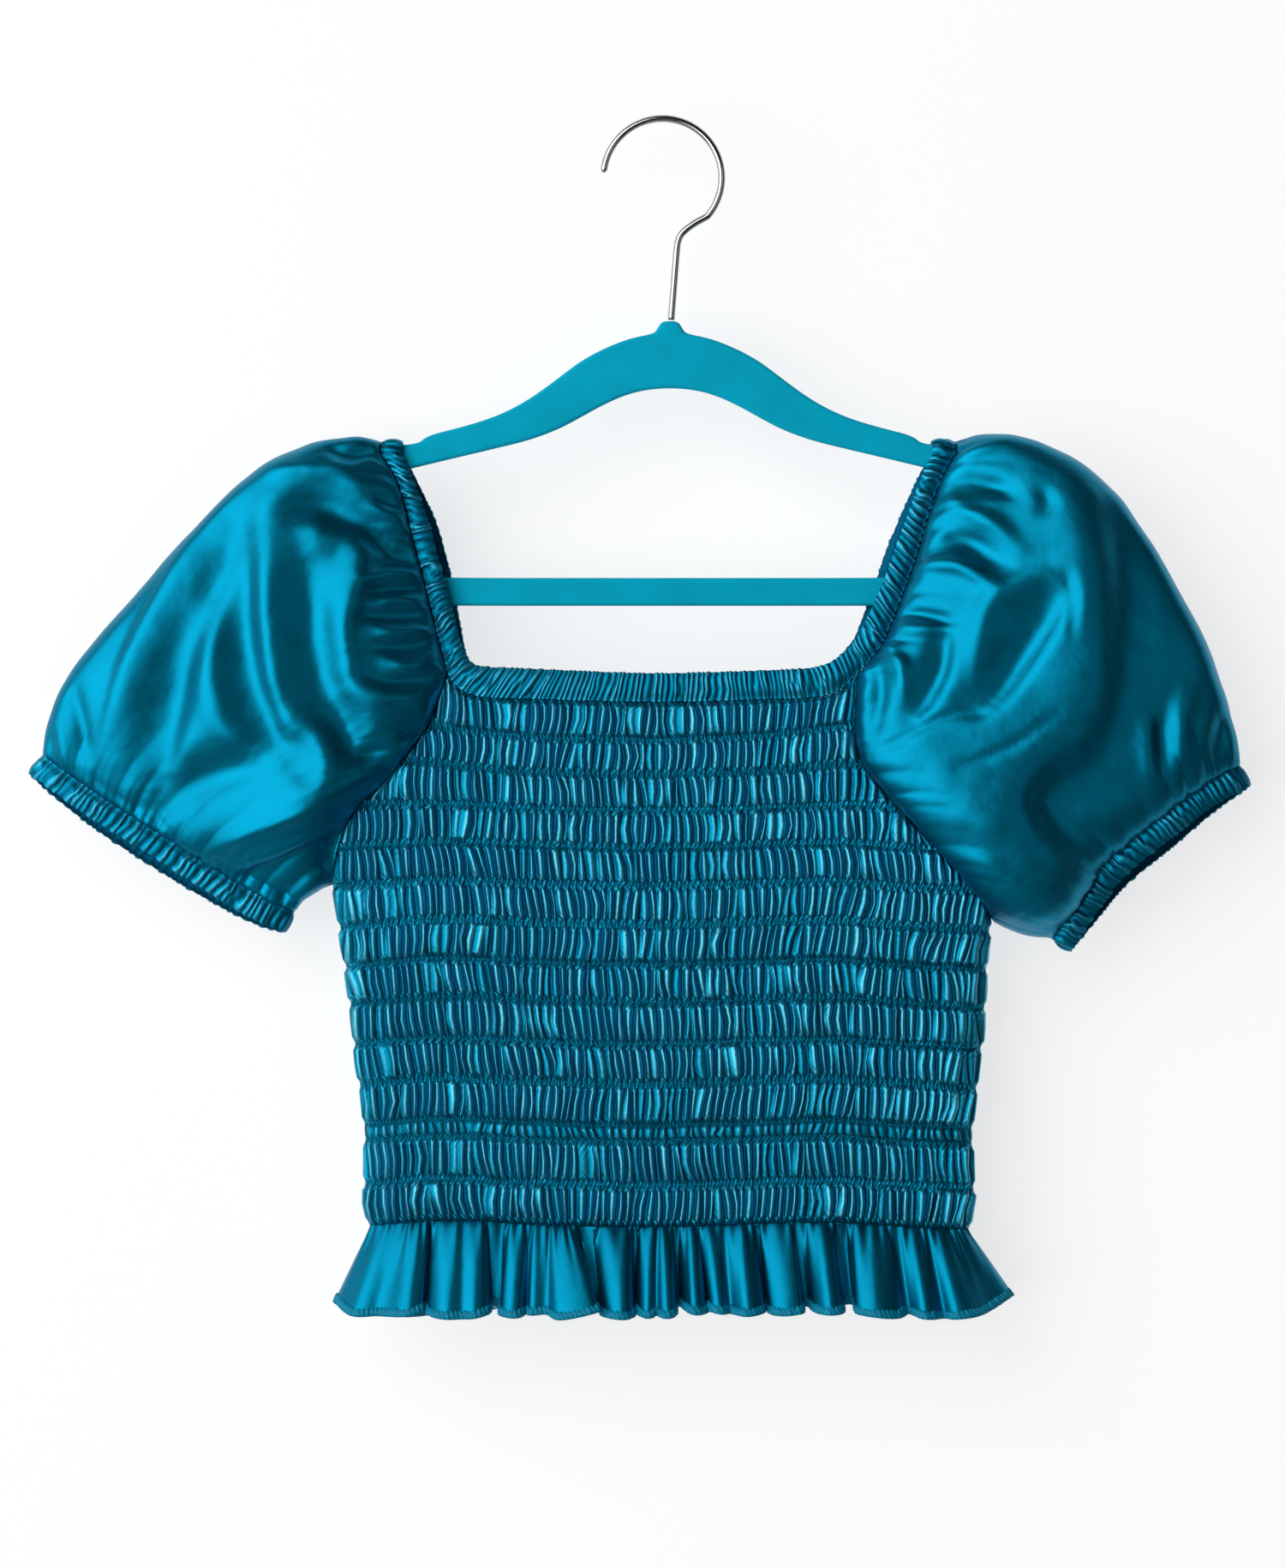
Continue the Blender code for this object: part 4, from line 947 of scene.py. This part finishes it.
def makeSleeve(name, side, shape, seed):
    look = sleeveMesh
    u = np.linspace(0, 1, look["rows"])
    rows = u - look["rowCrowding"] * np.sin(2 * math.pi * u)
    halves = sleeveHalves(side, shape, rows)
    inner = ringOf(halves[0][0], halves[1][0])
    seamOut = ringOf(halves[0][1][None], halves[1][1][None])[0]
    out = ringNormals(inner)
    nearSeam = np.exp(-((rows / look["seamTurn"]) ** 2))[:, None, None]
    out = unit(out * (1 - nearSeam) + unit(seamOut)[None] * nearSeam)
    x, z = inner[..., 0], inner[..., 2]
    columns = inner.shape[1]
    half = look["halfColumns"]
    steps = np.linalg.norm(np.diff(inner, axis=0), axis=2)
    fromSeam = np.concatenate([np.zeros((1, columns)), np.cumsum(steps, axis=0)])
    fromCuff = fromSeam[-1:] - fromSeam
    aboveUnderarm = np.clip((inner[0, :, 2] - inner[0, :, 2].min()) / look["underarmFade"], 0, 1)[None]
    isFront = np.arange(columns) < half
    front = creaseField(x[:, :half], z[:, :half], shape["creases"])
    # the back has creases of the same sizes and kind, shifted and turned over a little
    backX, backZ = x[:, half:], z[:, half:]
    back = look["backCreases"] * creaseField(backX + 0.12 * (backZ + 250) - side * 6, backZ + 9,
                                             shape["creases"][::-1])
    crease = np.concatenate([front, back], axis=1)
    ends = smoothstep(fromSeam / look["creaseFade"]) * smoothstep(fromCuff / look["creaseFade"])
    width = np.minimum(np.arange(columns) % (half - 1), (half - 1) - np.arange(columns) % (half - 1))
    crease *= ends * (0.25 + 0.75 * smoothstep(width / 9))[None]
    high = crease + gathersFrom(fromSeam, lengthAlong(inner[0]), look["seamGathers"], seed + 2) * aboveUnderarm
    high = high + gathersFrom(fromCuff, lengthAlong(inner[-1]), look["cuffGathers"], seed + 30)
    high = high + look["unevenness"] * ends * (softNoise(x / 24, z / 24 + 7 * isFront, seed)
                                               + 0.5 * softNoise(x / 10, z / 10 + 9 * isFront, seed + 1))
    points = inner + out * (body["clothWall"] + high)[..., None]
    # the cloth stays clear of the hanger's ends inside it
    farX = np.abs(points[..., 0] - hanger["centreX"])
    topZ = np.interp(farX, *np.array(hangerTopLine).T)
    reachOut, reachDown = look["hangerReach"]
    over = (farX < reachOut) & (points[..., 2] < topZ + 1) & (points[..., 2] > reachDown)
    facing = np.where(isFront[None], -1, 1)
    clear = facing * np.maximum(facing * points[..., 1], look["hangerClear"])
    points[..., 1] = np.where(over, clear, points[..., 1])
    points[:, -1] = points[:, 0]
    sleeve = gridPiece(name, points, look["flat"], out, closeRound=True)
    giveThickness(sleeve, clothShell["sleeve"])
    return sleeve, inner


hanger = {
    "centreX": 3.4, "thickness": 5.0, "edgeRadius": 1.9,
    "top": (
        (0, -92.8), (4.0, -93.2), (6.0, -96.6), (7.6, -98.8), (18.4, -100.8), (30.3, -105.4),
        (41.3, -111.3), (50.5, -118.2), (59.7, -125.2), (68.8, -131.2), (78, -135.9), (87.2, -139.4),
        (99, -142.8), (113.5, -146.4), (118, -150.7), (138, -150.7), (150, -154.6), (170, -161),
        (183, -167), (189, -175), (188, -187), (181, -200), (168, -214), (152, -223), (138, -225.8),
        (0, -225.8),
    ),
    "gap": (
        (0, -124), (12, -125), (22, -127.8), (32, -132.4), (42, -138), (52, -143.4), (66, -148.6),
        (82.6, -152.6), (113.8, -160), (140, -166.4), (164, -172.6), (174, -178), (175, -187),
        (168, -198), (154, -208), (138, -212.8), (0, -212.8),
    ),
}
cuffs = {
    "stations": 480, "gathers": 80, "slant": 0.5, "thin": 0.9, "crown": 1.2, "ridge": 1.6,
    "tightBelow": -999, "tightness": 1.0,
    "edgeWave": 0.9, "wander": 0.4, "stitchAt": 0.12, "width": 11.5, "flat": (0.32, 0.0245),
}


def makeCuff(name, side, shape, inner, seed):
    ring = inner[-1]
    line = smoothPath(shape["cuff"], 200)
    normals = flatNormals(line) * -side
    near = [int(np.argmin(np.linalg.norm(line - p[[0, 2]], axis=1))) for p in ring]
    down = np.column_stack([normals[near, 0], np.zeros(len(ring)), normals[near, 1]])
    tangent = np.roll(ring[:-1], -1, axis=0) - np.roll(ring[:-1], 1, axis=0)
    out = np.cross(np.vstack([tangent, tangent[:1]]), down)
    sense = 1 if (out * (ring - ring.mean(axis=0))).sum() > 0 else -1
    out = unit(sense * out)
    return casingTube(name, ring + down * 0.2, ring + down * cuffs["width"], out, cuffs, cuffs["flat"], seed)


stitchRuns = [(neckStitches, neckStitchOut)]
for hand, side, shape, seed in (("left", -1, leftSleeve, 511), ("right", 1, rightSleeve, 613)):
    sleeve, inner = makeSleeve("puff_sleeve_" + hand, side, shape, seed)
    dress(sleeve, satin, "satin", "sleeve_" + hand)
    cuff, line, lineOut = makeCuff("gathered_cuff_" + hand, side, shape, inner, seed + 50)
    giveThickness(cuff, clothShell["casing"])
    dress(cuff, satin, "satin", "cuff_" + hand)
    stitchRuns.append((line, lineOut))
print("sleeves and cuffs made")


# hem ruffle

ruffle = {
    # the hem's folds: x at the seam, x at the hem, how far out from the body, height of the hem
    "folds": (
        (-138.6, -152.6, 0, -550.6), (-133.4, -144.6, 6, -555.8), (-124.6, -133.0, 3, -555.8),
        (-116.6, -119.8, 8, -555.4), (-112.6, -111.8, 5, -553.4), (-113.8, -113.8, -1, -552.2),
        (-111.0, -109.8, -3, -551.4), (-109.4, -109.0, -2, -551.8), (-107.0, -108.6, 5, -554.6),
        (-100.6, -101.4, 9, -556.2), (-93.4, -93.0, 7.5, -556.2), (-87.4, -87.0, 8.5, -555.8),
        (-83.8, -81.0, 4, -553.8), (-85.0, -83.4, -2, -551.8), (-79.4, -78.2, -3, -551.0),
        (-73.8, -73.4, -2, -551.8), (-71.8, -74.6, 4, -554.6), (-67.4, -68.2, 6.5, -555.8),
        (-62.2, -62.6, 1, -553.8), (-59.4, -61.0, 5.5, -554.6), (-53.4, -53.4, 4.5, -554.2),
        (-48.2, -46.6, 9.5, -556.2), (-42.2, -30.2, 9.5, -552.6), (-40.6, -33.4, 1, -551.8),
        (-35.8, -31.8, 0.5, -552.2), (-30.6, -29.0, -1, -553.4), (-27.8, -27.0, 4, -555.0),
        (-18.2, -18.6, 8.5, -556.2), (-14.2, -13.4, 4, -555.0), (-15.0, -14.6, -2, -552.6),
        (-11.4, -12.2, -3, -551.8), (-9.4, -11.4, -1, -552.6), (-8.6, -10.2, 4, -554.6),
        (-4.6, -6.6, 7, -555.8), (-1.8, -3.0, 4, -554.6), (2.6, 2.2, 7.5, -555.8), (5.4, 5.4, 4, -554.2),
        (4.6, 4.2, -2, -551.8), (8.6, 8.6, -3, -551.0), (11.8, 11.4, 3, -552.6), (15.4, 15.4, 7, -554.2),
        (18.6, 20.2, 3, -553.4), (18.2, 19.0, -2, -551.4), (20.2, 21.8, -3, -551.0), (21.4, 22.6, 5, -552.6),
        (25.8, 27.0, 7.5, -553.8), (30.2, 31.8, 4, -553.8), (38.6, 39.4, 9.5, -554.6), (44.2, 47.0, 5, -553.0),
        (43.0, 45.4, -2, -551.4), (47.8, 49.0, -3, -551.0), (50.6, 49.8, 4, -553.8), (57.8, 56.2, 7.5, -554.6),
        (63.0, 64.6, 6.5, -553.4), (61.8, 62.6, -1, -551.4), (67.8, 68.6, -1.5, -551.4),
        (72.6, 71.8, 4, -553.4), (77.8, 77.8, 8.5, -554.2), (82.6, 83.0, 5, -553.4), (81.8, 81.8, -2, -551.4),
        (86.6, 86.6, -4, -550.6), (89.8, 89.8, -3, -551.4), (93.8, 89.8, 5, -553.8), (101.8, 99.0, 9, -555.4),
        (108.2, 108.2, 6, -556.2), (113.4, 114.2, 1.5, -554.6), (123.0, 122.2, 8, -556.6),
        (128.2, 130.6, 4, -556.6), (133.8, 137.4, 8.5, -556.6), (141.0, 149.4, 6, -554.6),
        (148.2, 163.4, 0, -547.4),
    ),
    "below": 0.3,
    "drop": 41,          # from the seam to the hem
    "halfColumns": 361,
    "rows": 34,
    "opens": 0.62,       # how soon the folds open below the seam
    "depth": 1.3,        # how much of the folds' stated depth shows
    "topGathers": 76,
    "topGather": 2.1,
    "topReach": 7.5,
    "creaseRise": 0.45,
    "dimmed": (-0.12, -0.4, 14.0),   # darker all over, painted shade deeper at the seam, and how far down that painted shade goes
    "overlockRise": 0.8,
    "overlockStep": 2.2,
    "overlockHeight": 3.6,
    "overlockFlat": (1.02, 0.008),
    "flat": (1.02, 0.044),
}


def ruffleHalf(face, drop):
    seamZ = bodice["lines"][-1]
    centre, half = bodyAt(seamZ, "centre"), innerHalf(seamZ)
    folds = np.array(ruffle["folds"])
    if face > 0:
        # behind, the same kind of folds from the other side, meeting the front at both ends
        share = (folds[::-1, :2] - folds[-1, :2]) / (folds[0, :2] - folds[-1, :2])
        hemZ = folds[::-1, 3] + np.linspace(folds[0, 3] - folds[-1, 3], folds[-1, 3] - folds[0, 3], len(folds))
        folds = np.column_stack([folds[0, :2] + share * (folds[-1, :2] - folds[0, :2]), folds[::-1, 2], hemZ])
    path = smoothPath(folds[:, [1, 2, 0, 3]] * (1, 1.6, 0.25, 1), ruffle["halfColumns"])
    hemX, away, topX, hemZ = path[:, 0], path[:, 1] / 1.6, path[:, 2] * 4, path[:, 3]
    # at the seam the cloth lies on the oval, evenly fed in
    topX = np.maximum.accumulate(topX)
    topX = (topX - topX[0]) / (topX[-1] - topX[0]) * 2 - 1
    topX = centre + half * topX + np.linspace(-1, 1, len(topX)) * 1e-3
    deepTop = depthAt(topX, np.full_like(topX, seamZ))
    opened = drop ** ruffle["opens"]
    x = topX + (hemX - topX) * drop
    side = np.clip(deepTop / 7, 0, 1)
    deep = deepTop * (1 + 0.35 * drop) + ruffle["depth"] * away * opened * side
    deep = np.maximum(deep, 0.3 * deepTop)
    topZ = lineHeight(len(bodice["lines"]) - 1, topX, 41 if face < 0 else 97) - ruffle["below"]
    z = topZ + (hemZ - topZ) * drop
    return np.column_stack([x, face * deep, z])


rows = np.linspace(0, 1, ruffle["rows"]) ** 1.25
halves = [np.array([ruffleHalf(face, drop) for drop in rows]) for face in (-1, 1)]
inner = ringOf(*halves)
out = ringNormals(inner)
out[..., 2] *= 0.3
out = unit(out)
share = np.linspace(0, 2, inner.shape[1])
valleys = np.concatenate([unevenFolds(ruffle["topGathers"], 171), 1 + unevenFolds(ruffle["topGathers"], 173)[1:]])
topPhase = np.interp(share, valleys, np.arange(len(valleys)))
heights = np.random.default_rng(177).uniform(0.4, 1.1, len(valleys))
reach = np.random.default_rng(178).uniform(0.5, 2.4, len(valleys))[np.floor(topPhase).astype(int) % len(valleys)]
drop = (rows * ruffle["drop"])[:, None]
pinched = (gatherAt(topPhase, heights) - 0.2)[None] * np.exp(-drop / (ruffle["topReach"] * reach[None]))
creased = softNoise(share[None] * 55, drop / 40, 175) * np.clip(drop / 8, 0, 1)
high = ruffle["topGather"] * pinched + ruffle["creaseRise"] * creased
ruffleOuter = inner + out * (body["clothWall"] * 0.6 + high)[..., None]
ruffleOuter[:, -1] = ruffleOuter[:, 0]
# painted shade under the gathers at the seam, on a ruffle that is darker all over
dimmed, paintedShadeAtSeam, paintedShadeReach = ruffle["dimmed"]
darkerAndPaintedShade = dimmed + paintedShadeAtSeam * np.repeat(np.exp(-drop / paintedShadeReach), len(share), axis=1)
hem = gridPiece("hem_ruffle_free_edge", ruffleOuter, ruffle["flat"], out, closeRound=True, fields={"paintedLight": darkerAndPaintedShade})
giveThickness(hem, clothShell["ruffle"])
dress(hem, satin, "satin", "hem_ruffle")


def makeOverlock():
    # thread wrapped over the raw hem, as a narrow bumpy binding
    edge = ruffleOuter[-1]
    up = unit(ruffleOuter[-5] - edge)
    far = lengthAlong(edge)
    loops = round(far[-1] / ruffle["overlockStep"])
    wanted = np.linspace(0, far[-1], loops * 4 + 1)
    edge, up, away = (pointsAt(ring, far, wanted) for ring in (edge, up, out[-1]))
    up, away = unit(up), unit(away)
    turn = np.linspace(0, loops, loops * 4 + 1)
    size = np.random.default_rng(191).uniform(0.5, 1.4, loops + 1)[turn.astype(int)]
    tall = ruffle["overlockHeight"]
    rows = []
    section = ((tall, -0.05, 0.5), (tall * 0.7, 0.3, 0.35), (tall * 0.35, 0.35, 0.15), (-0.3, 0.1, 0),
               (-0.3, -0.55, 0), (tall * 0.35, -0.8, 0.1), (tall * 0.7, -0.75, 0.3), (tall, -0.4, 0.5))
    for lift, side, lean in section:
        loop = np.abs(np.sin(math.pi * (turn + lean))) ** 0.7
        bumpOut = side + math.copysign(ruffle["overlockRise"], side + 0.2) * (loop * size - 0.3)
        bumpUp = lift + (0.9 * (loop * size - 0.6) if lift == tall else 0)
        rows.append(edge + up * np.reshape(bumpUp + 0 * turn, (-1, 1)) + away * bumpOut[:, None])
    rows.append(rows[0])
    points = np.array(rows)
    points[:, -1] = points[:, 0]
    middle = points[:-1].mean(axis=0, keepdims=True)
    return gridPiece("hem_overlock", points, ruffle["overlockFlat"], points - middle,
                     closeRound=True, closeTube=True)


overlock = dress(makeOverlock(), thread, "satin")
print("ruffle made")


# stitches along the casings and the shirring lines

stitches = {"length": 1.7, "gap": 0.9, "radius": 0.26}


def makeStitches(name, runs):
    work = bmesh.new()
    bmesh.ops.create_uvsphere(work, u_segments=4, v_segments=3, radius=1)
    bead = finishInto(bpy.data.meshes.new("bead"), work)
    shape = np.array([v.co for v in bead.vertices])
    places, alongs, ups = [], [], []
    for line, lineOut in runs:
        far = lengthAlong(line)
        count = int(far[-1] / (stitches["length"] + stitches["gap"]))
        wanted = (np.arange(count) + 0.5) * far[-1] / count
        places.append(pointsAt(line, far, wanted))
        alongs.append(unit(pointsAt(line, far, wanted + 0.5) - pointsAt(line, far, wanted - 0.5)))
        ups.append(pointsAt(lineOut, far, wanted))
    places, alongs, ups = (np.vstack(rows) for rows in (places, alongs, ups))
    sides = unit(np.cross(alongs, ups))
    ups = unit(np.cross(sides, alongs))
    work = bmesh.new()
    for _ in range(len(places)):
        work.from_mesh(bead)
    mesh = finishInto(bpy.data.meshes.new(name), work)
    turned = (alongs[:, None] * shape[None, :, 2:] * stitches["length"] / 2
              + sides[:, None] * shape[None, :, :1] * stitches["radius"]
              + ups[:, None] * shape[None, :, 1:2] * stitches["radius"])
    mesh.vertices.foreach_set("co", ((places[:, None] + turned) * mm).astype(np.float32).ravel())
    mesh.shade_smooth()
    return bpy.data.objects.new(name, mesh)


dress(makeStitches("casing_topstitching", stitchRuns), thread, "satin")
shirringRuns = []
for name, (points, out) in panelRows.items():
    line = 0
    for upper, lower in zip(bodice["lines"], bodice["lines"][1:-1]):
        line += len(bodice["narrowPuff"] if upper - lower < 10 else bodice["puff"])
        row, up = points[line], out[line]
        apart = np.concatenate([[True], np.linalg.norm(np.diff(row, axis=0), axis=1) > 1e-4])
        shirringRuns.append((row[apart] + up[apart] * 0.1, up[apart]))
dress(makeStitches("shirring_thread", shirringRuns), thread, "satin")
print("stitching made")


# hanger and hook

def cutCorners(points, times):
    for _ in range(times):
        after = np.roll(points, -1, axis=0)
        points = np.stack([points * 0.75 + after * 0.25, points * 0.25 + after * 0.75], axis=1).reshape(-1, 2)
    return points


def meshOf(curveObject, name):
    bpy.context.scene.collection.objects.link(curveObject)
    graph = bpy.context.evaluated_depsgraph_get()
    mesh = bpy.data.meshes.new_from_object(curveObject.evaluated_get(graph))
    mesh.transform(curveObject.matrix_world)
    mesh.name = name
    bpy.data.objects.remove(curveObject)
    work = bmesh.new()
    work.from_mesh(mesh)
    bmesh.ops.remove_doubles(work, verts=work.verts, dist=1e-6)
    bmesh.ops.recalc_face_normals(work, faces=work.faces)
    finishInto(mesh, work)
    mesh.shade_smooth()
    return bpy.data.objects.new(name, mesh)


def makeHanger():
    curve = bpy.data.curves.new("hanger outline", "CURVE")
    curve.dimensions = "2D"
    curve.fill_mode = "BOTH"
    curve.extrude = (hanger["thickness"] / 2 - hanger["edgeRadius"]) * mm
    curve.bevel_depth = hanger["edgeRadius"] * mm
    curve.bevel_resolution = 4
    curve.offset = -hanger["edgeRadius"] * mm
    for half in (hanger["top"], hanger["gap"]):
        outline = np.array([*half, *[(-x, z) for x, z in half[::-1] if x > 0]], float)
        outline = cutCorners(outline, 3)
        spline = curve.splines.new("POLY")
        spline.points.add(len(outline) - 1)
        for point, (x, z) in zip(spline.points, outline):
            point.co = (x * mm, z * mm, 0, 1)
        spline.use_cyclic_u = True
    shape = bpy.data.objects.new("hanger outline", curve)
    shape.rotation_euler = (math.pi / 2, 0, 0)
    shape.location = (hanger["centreX"] * mm, 0, 0)
    bpy.context.view_layer.update()
    return meshOf(shape, "flocked_hanger")


hook = {
    "wire": 1.7, "bendRadius": 27.6, "from": 175, "to": -41,
    "shank": ((14.4, -47.6), (9.2, -51.8), (7.2, -55.8), (6.4, -62.2), (4.0, -92.3)),
}


def makeHook():
    centre = -(hook["bendRadius"] - hook["wire"])
    angles = np.radians(np.linspace(hook["from"], hook["to"], 90))
    bend = np.column_stack([hook["bendRadius"] * np.cos(angles), centre + hook["bendRadius"] * np.sin(angles)])
    shank = smoothPath([tuple(bend[-1]), *hook["shank"]], 40)
    route = np.vstack([bend[:-1], shank])
    curve = bpy.data.curves.new("hook wire", "CURVE")
    curve.dimensions = "3D"
    curve.bevel_depth = hook["wire"] * mm
    curve.bevel_resolution = 5
    curve.use_fill_caps = True
    spline = curve.splines.new("POLY")
    spline.points.add(len(route) - 1)
    for k, (point, (x, z)) in enumerate(zip(spline.points, route)):
        point.co = (x * mm, 0, z * mm, 1)
        point.radius = (0.55, 0.9)[k] if k < 2 else 1.0   # the tip is tumbled round
    return meshOf(bpy.data.objects.new("hook wire", curve), "plated_hook")


dress(makeHanger(), velvet, "velvet", "hanger")
dress(makeHook(), chrome, "chrome", "hook")
print("hanger and hook made")


# backdrop, lights and camera

studio = {
    "wallY": 0.040, "wallTop": 1.2, "floorZ": -2.1, "coveRadius": 0.25, "halfWidth": 2.2, "reach": 3.2,
    "paper": "#9A9A9A", "glow": 0.74,   # the paper is lit through from behind
}


def makeBackdrop():
    # a pale wall close behind the garment, curving into a pale floor
    work = bmesh.new()
    radius = studio["coveRadius"]
    profile = [(studio["wallY"], studio["wallTop"])]
    for angle in np.radians(np.linspace(0, 90, 10)):
        profile.append((studio["wallY"] - radius + radius * math.cos(angle),
                        studio["floorZ"] + radius - radius * math.sin(angle)))
    profile.append((-studio["reach"], studio["floorZ"]))
    verts = [work.verts.new((-studio["halfWidth"], y, z)) for y, z in profile]
    edges = [work.edges.new(pair) for pair in zip(verts, verts[1:])]
    swept = bmesh.ops.extrude_edge_only(work, edges=edges)
    moved = [v for v in swept["geom"] if isinstance(v, bmesh.types.BMVert)]
    bmesh.ops.translate(work, verts=moved, vec=(2 * studio["halfWidth"], 0, 0))
    bmesh.ops.recalc_face_normals(work, faces=work.faces)
    work.faces.ensure_lookup_table()
    if work.faces[0].normal.y > 0:
        bmesh.ops.reverse_faces(work, faces=work.faces)
    mesh = finishInto(bpy.data.meshes.new("backdrop"), work)
    mesh.shade_smooth()
    material, tree, shader = newMaterial("matt backdrop paper")
    place = addNode(tree, "ShaderNodeTexCoord")
    fibres = addNode(tree, "ShaderNodeTexNoise", {"Vector": place.outputs["Object"], "Scale": 900.0, "Detail": 2.0})
    bump = addNode(tree, "ShaderNodeBump", {"Height": fibres.outputs["Fac"], "Distance": 0.0001, "Strength": 0.2})
    # the glow is on the wall alone, and fades out above the floor
    apart = addNode(tree, "ShaderNodeSeparateXYZ", {0: place.outputs["Object"]})
    glow = addNode(tree, "ShaderNodeMapRange",
                   {"Value": apart.outputs["Z"], "From Min": -1.8, "From Max": -1.4, "To Max": studio["glow"]})
    setInputs(tree, shader, {
        "Base Color": linear(studio["paper"]), "Normal": bump.outputs["Normal"], "Roughness": 0.95,
        "Specular IOR Level": 0.1, "Emission Color": (1, 1, 1, 1), "Emission Strength": glow.outputs["Result"]})
    # clear from behind, so that the garment's back can be looked at
    side = addNode(tree, "ShaderNodeNewGeometry")
    clear = addNode(tree, "ShaderNodeBsdfTransparent")
    mixed = addNode(tree, "ShaderNodeMixShader",
                    {0: side.outputs["Backfacing"], 1: shader.outputs[0], 2: clear.outputs[0]})
    setInputs(tree, tree.nodes["Material Output"], {"Surface": mixed.outputs[0]})
    backdrop = bpy.data.objects.new("backdrop", mesh)
    mesh.materials.append(material)
    bpy.context.scene.collection.objects.link(backdrop)


lights = (
    # name, place, size across and up, power, aimed at
    ("window", (-2.3, -3.2, 0.5), (4.2, 5.4), 190, (0, 0, -0.30)),
    ("side wall", (-3.0, -0.9, -0.2), (1.6, 2.4), 9, (0, 0, -0.30)),
    ("fill panel", (1.6, -2.2, -0.2), (1.2, 1.6), 3, (0, 0, -0.30)),
)


def makeLights():
    for name, place, size, power, target in lights:
        data = bpy.data.lights.new(name, "AREA")
        data.shape = "RECTANGLE"
        data.size, data.size_y = size
        data.energy = power
        lamp = bpy.data.objects.new(name, data)
        lamp.location = place
        away = np.array(target) - np.array(place)
        tilt = math.acos(-away[2] / np.linalg.norm(away))
        lamp.rotation_euler = (tilt, 0, math.atan2(away[1], away[0]) - math.pi / 2)
        bpy.context.scene.collection.objects.link(lamp)
    world = bpy.data.worlds.new("studio air")
    world.use_nodes = True
    setInputs(world.node_tree, world.node_tree.nodes["Background"], {"Color": linear("#EEF2F5"), "Strength": 0.015})
    bpy.context.scene.world = world
    bpy.context.scene.view_settings.view_transform = "Standard"


view = {"lens": 118.0, "film": 36, "place": (-0.0094, -2.4, -0.309)}


def makeCamera():
    data = bpy.data.cameras.new("camera")
    data.sensor_fit = "AUTO"
    data.sensor_width = view["film"]
    data.lens = view["lens"]
    camera = bpy.data.objects.new("camera", data)
    camera.location = view["place"]
    camera.rotation_euler = (math.pi / 2, 0, 0)
    bpy.context.scene.collection.objects.link(camera)
    bpy.context.scene.camera = camera


makeBackdrop()
makeLights()
makeCamera()
print("studio made")
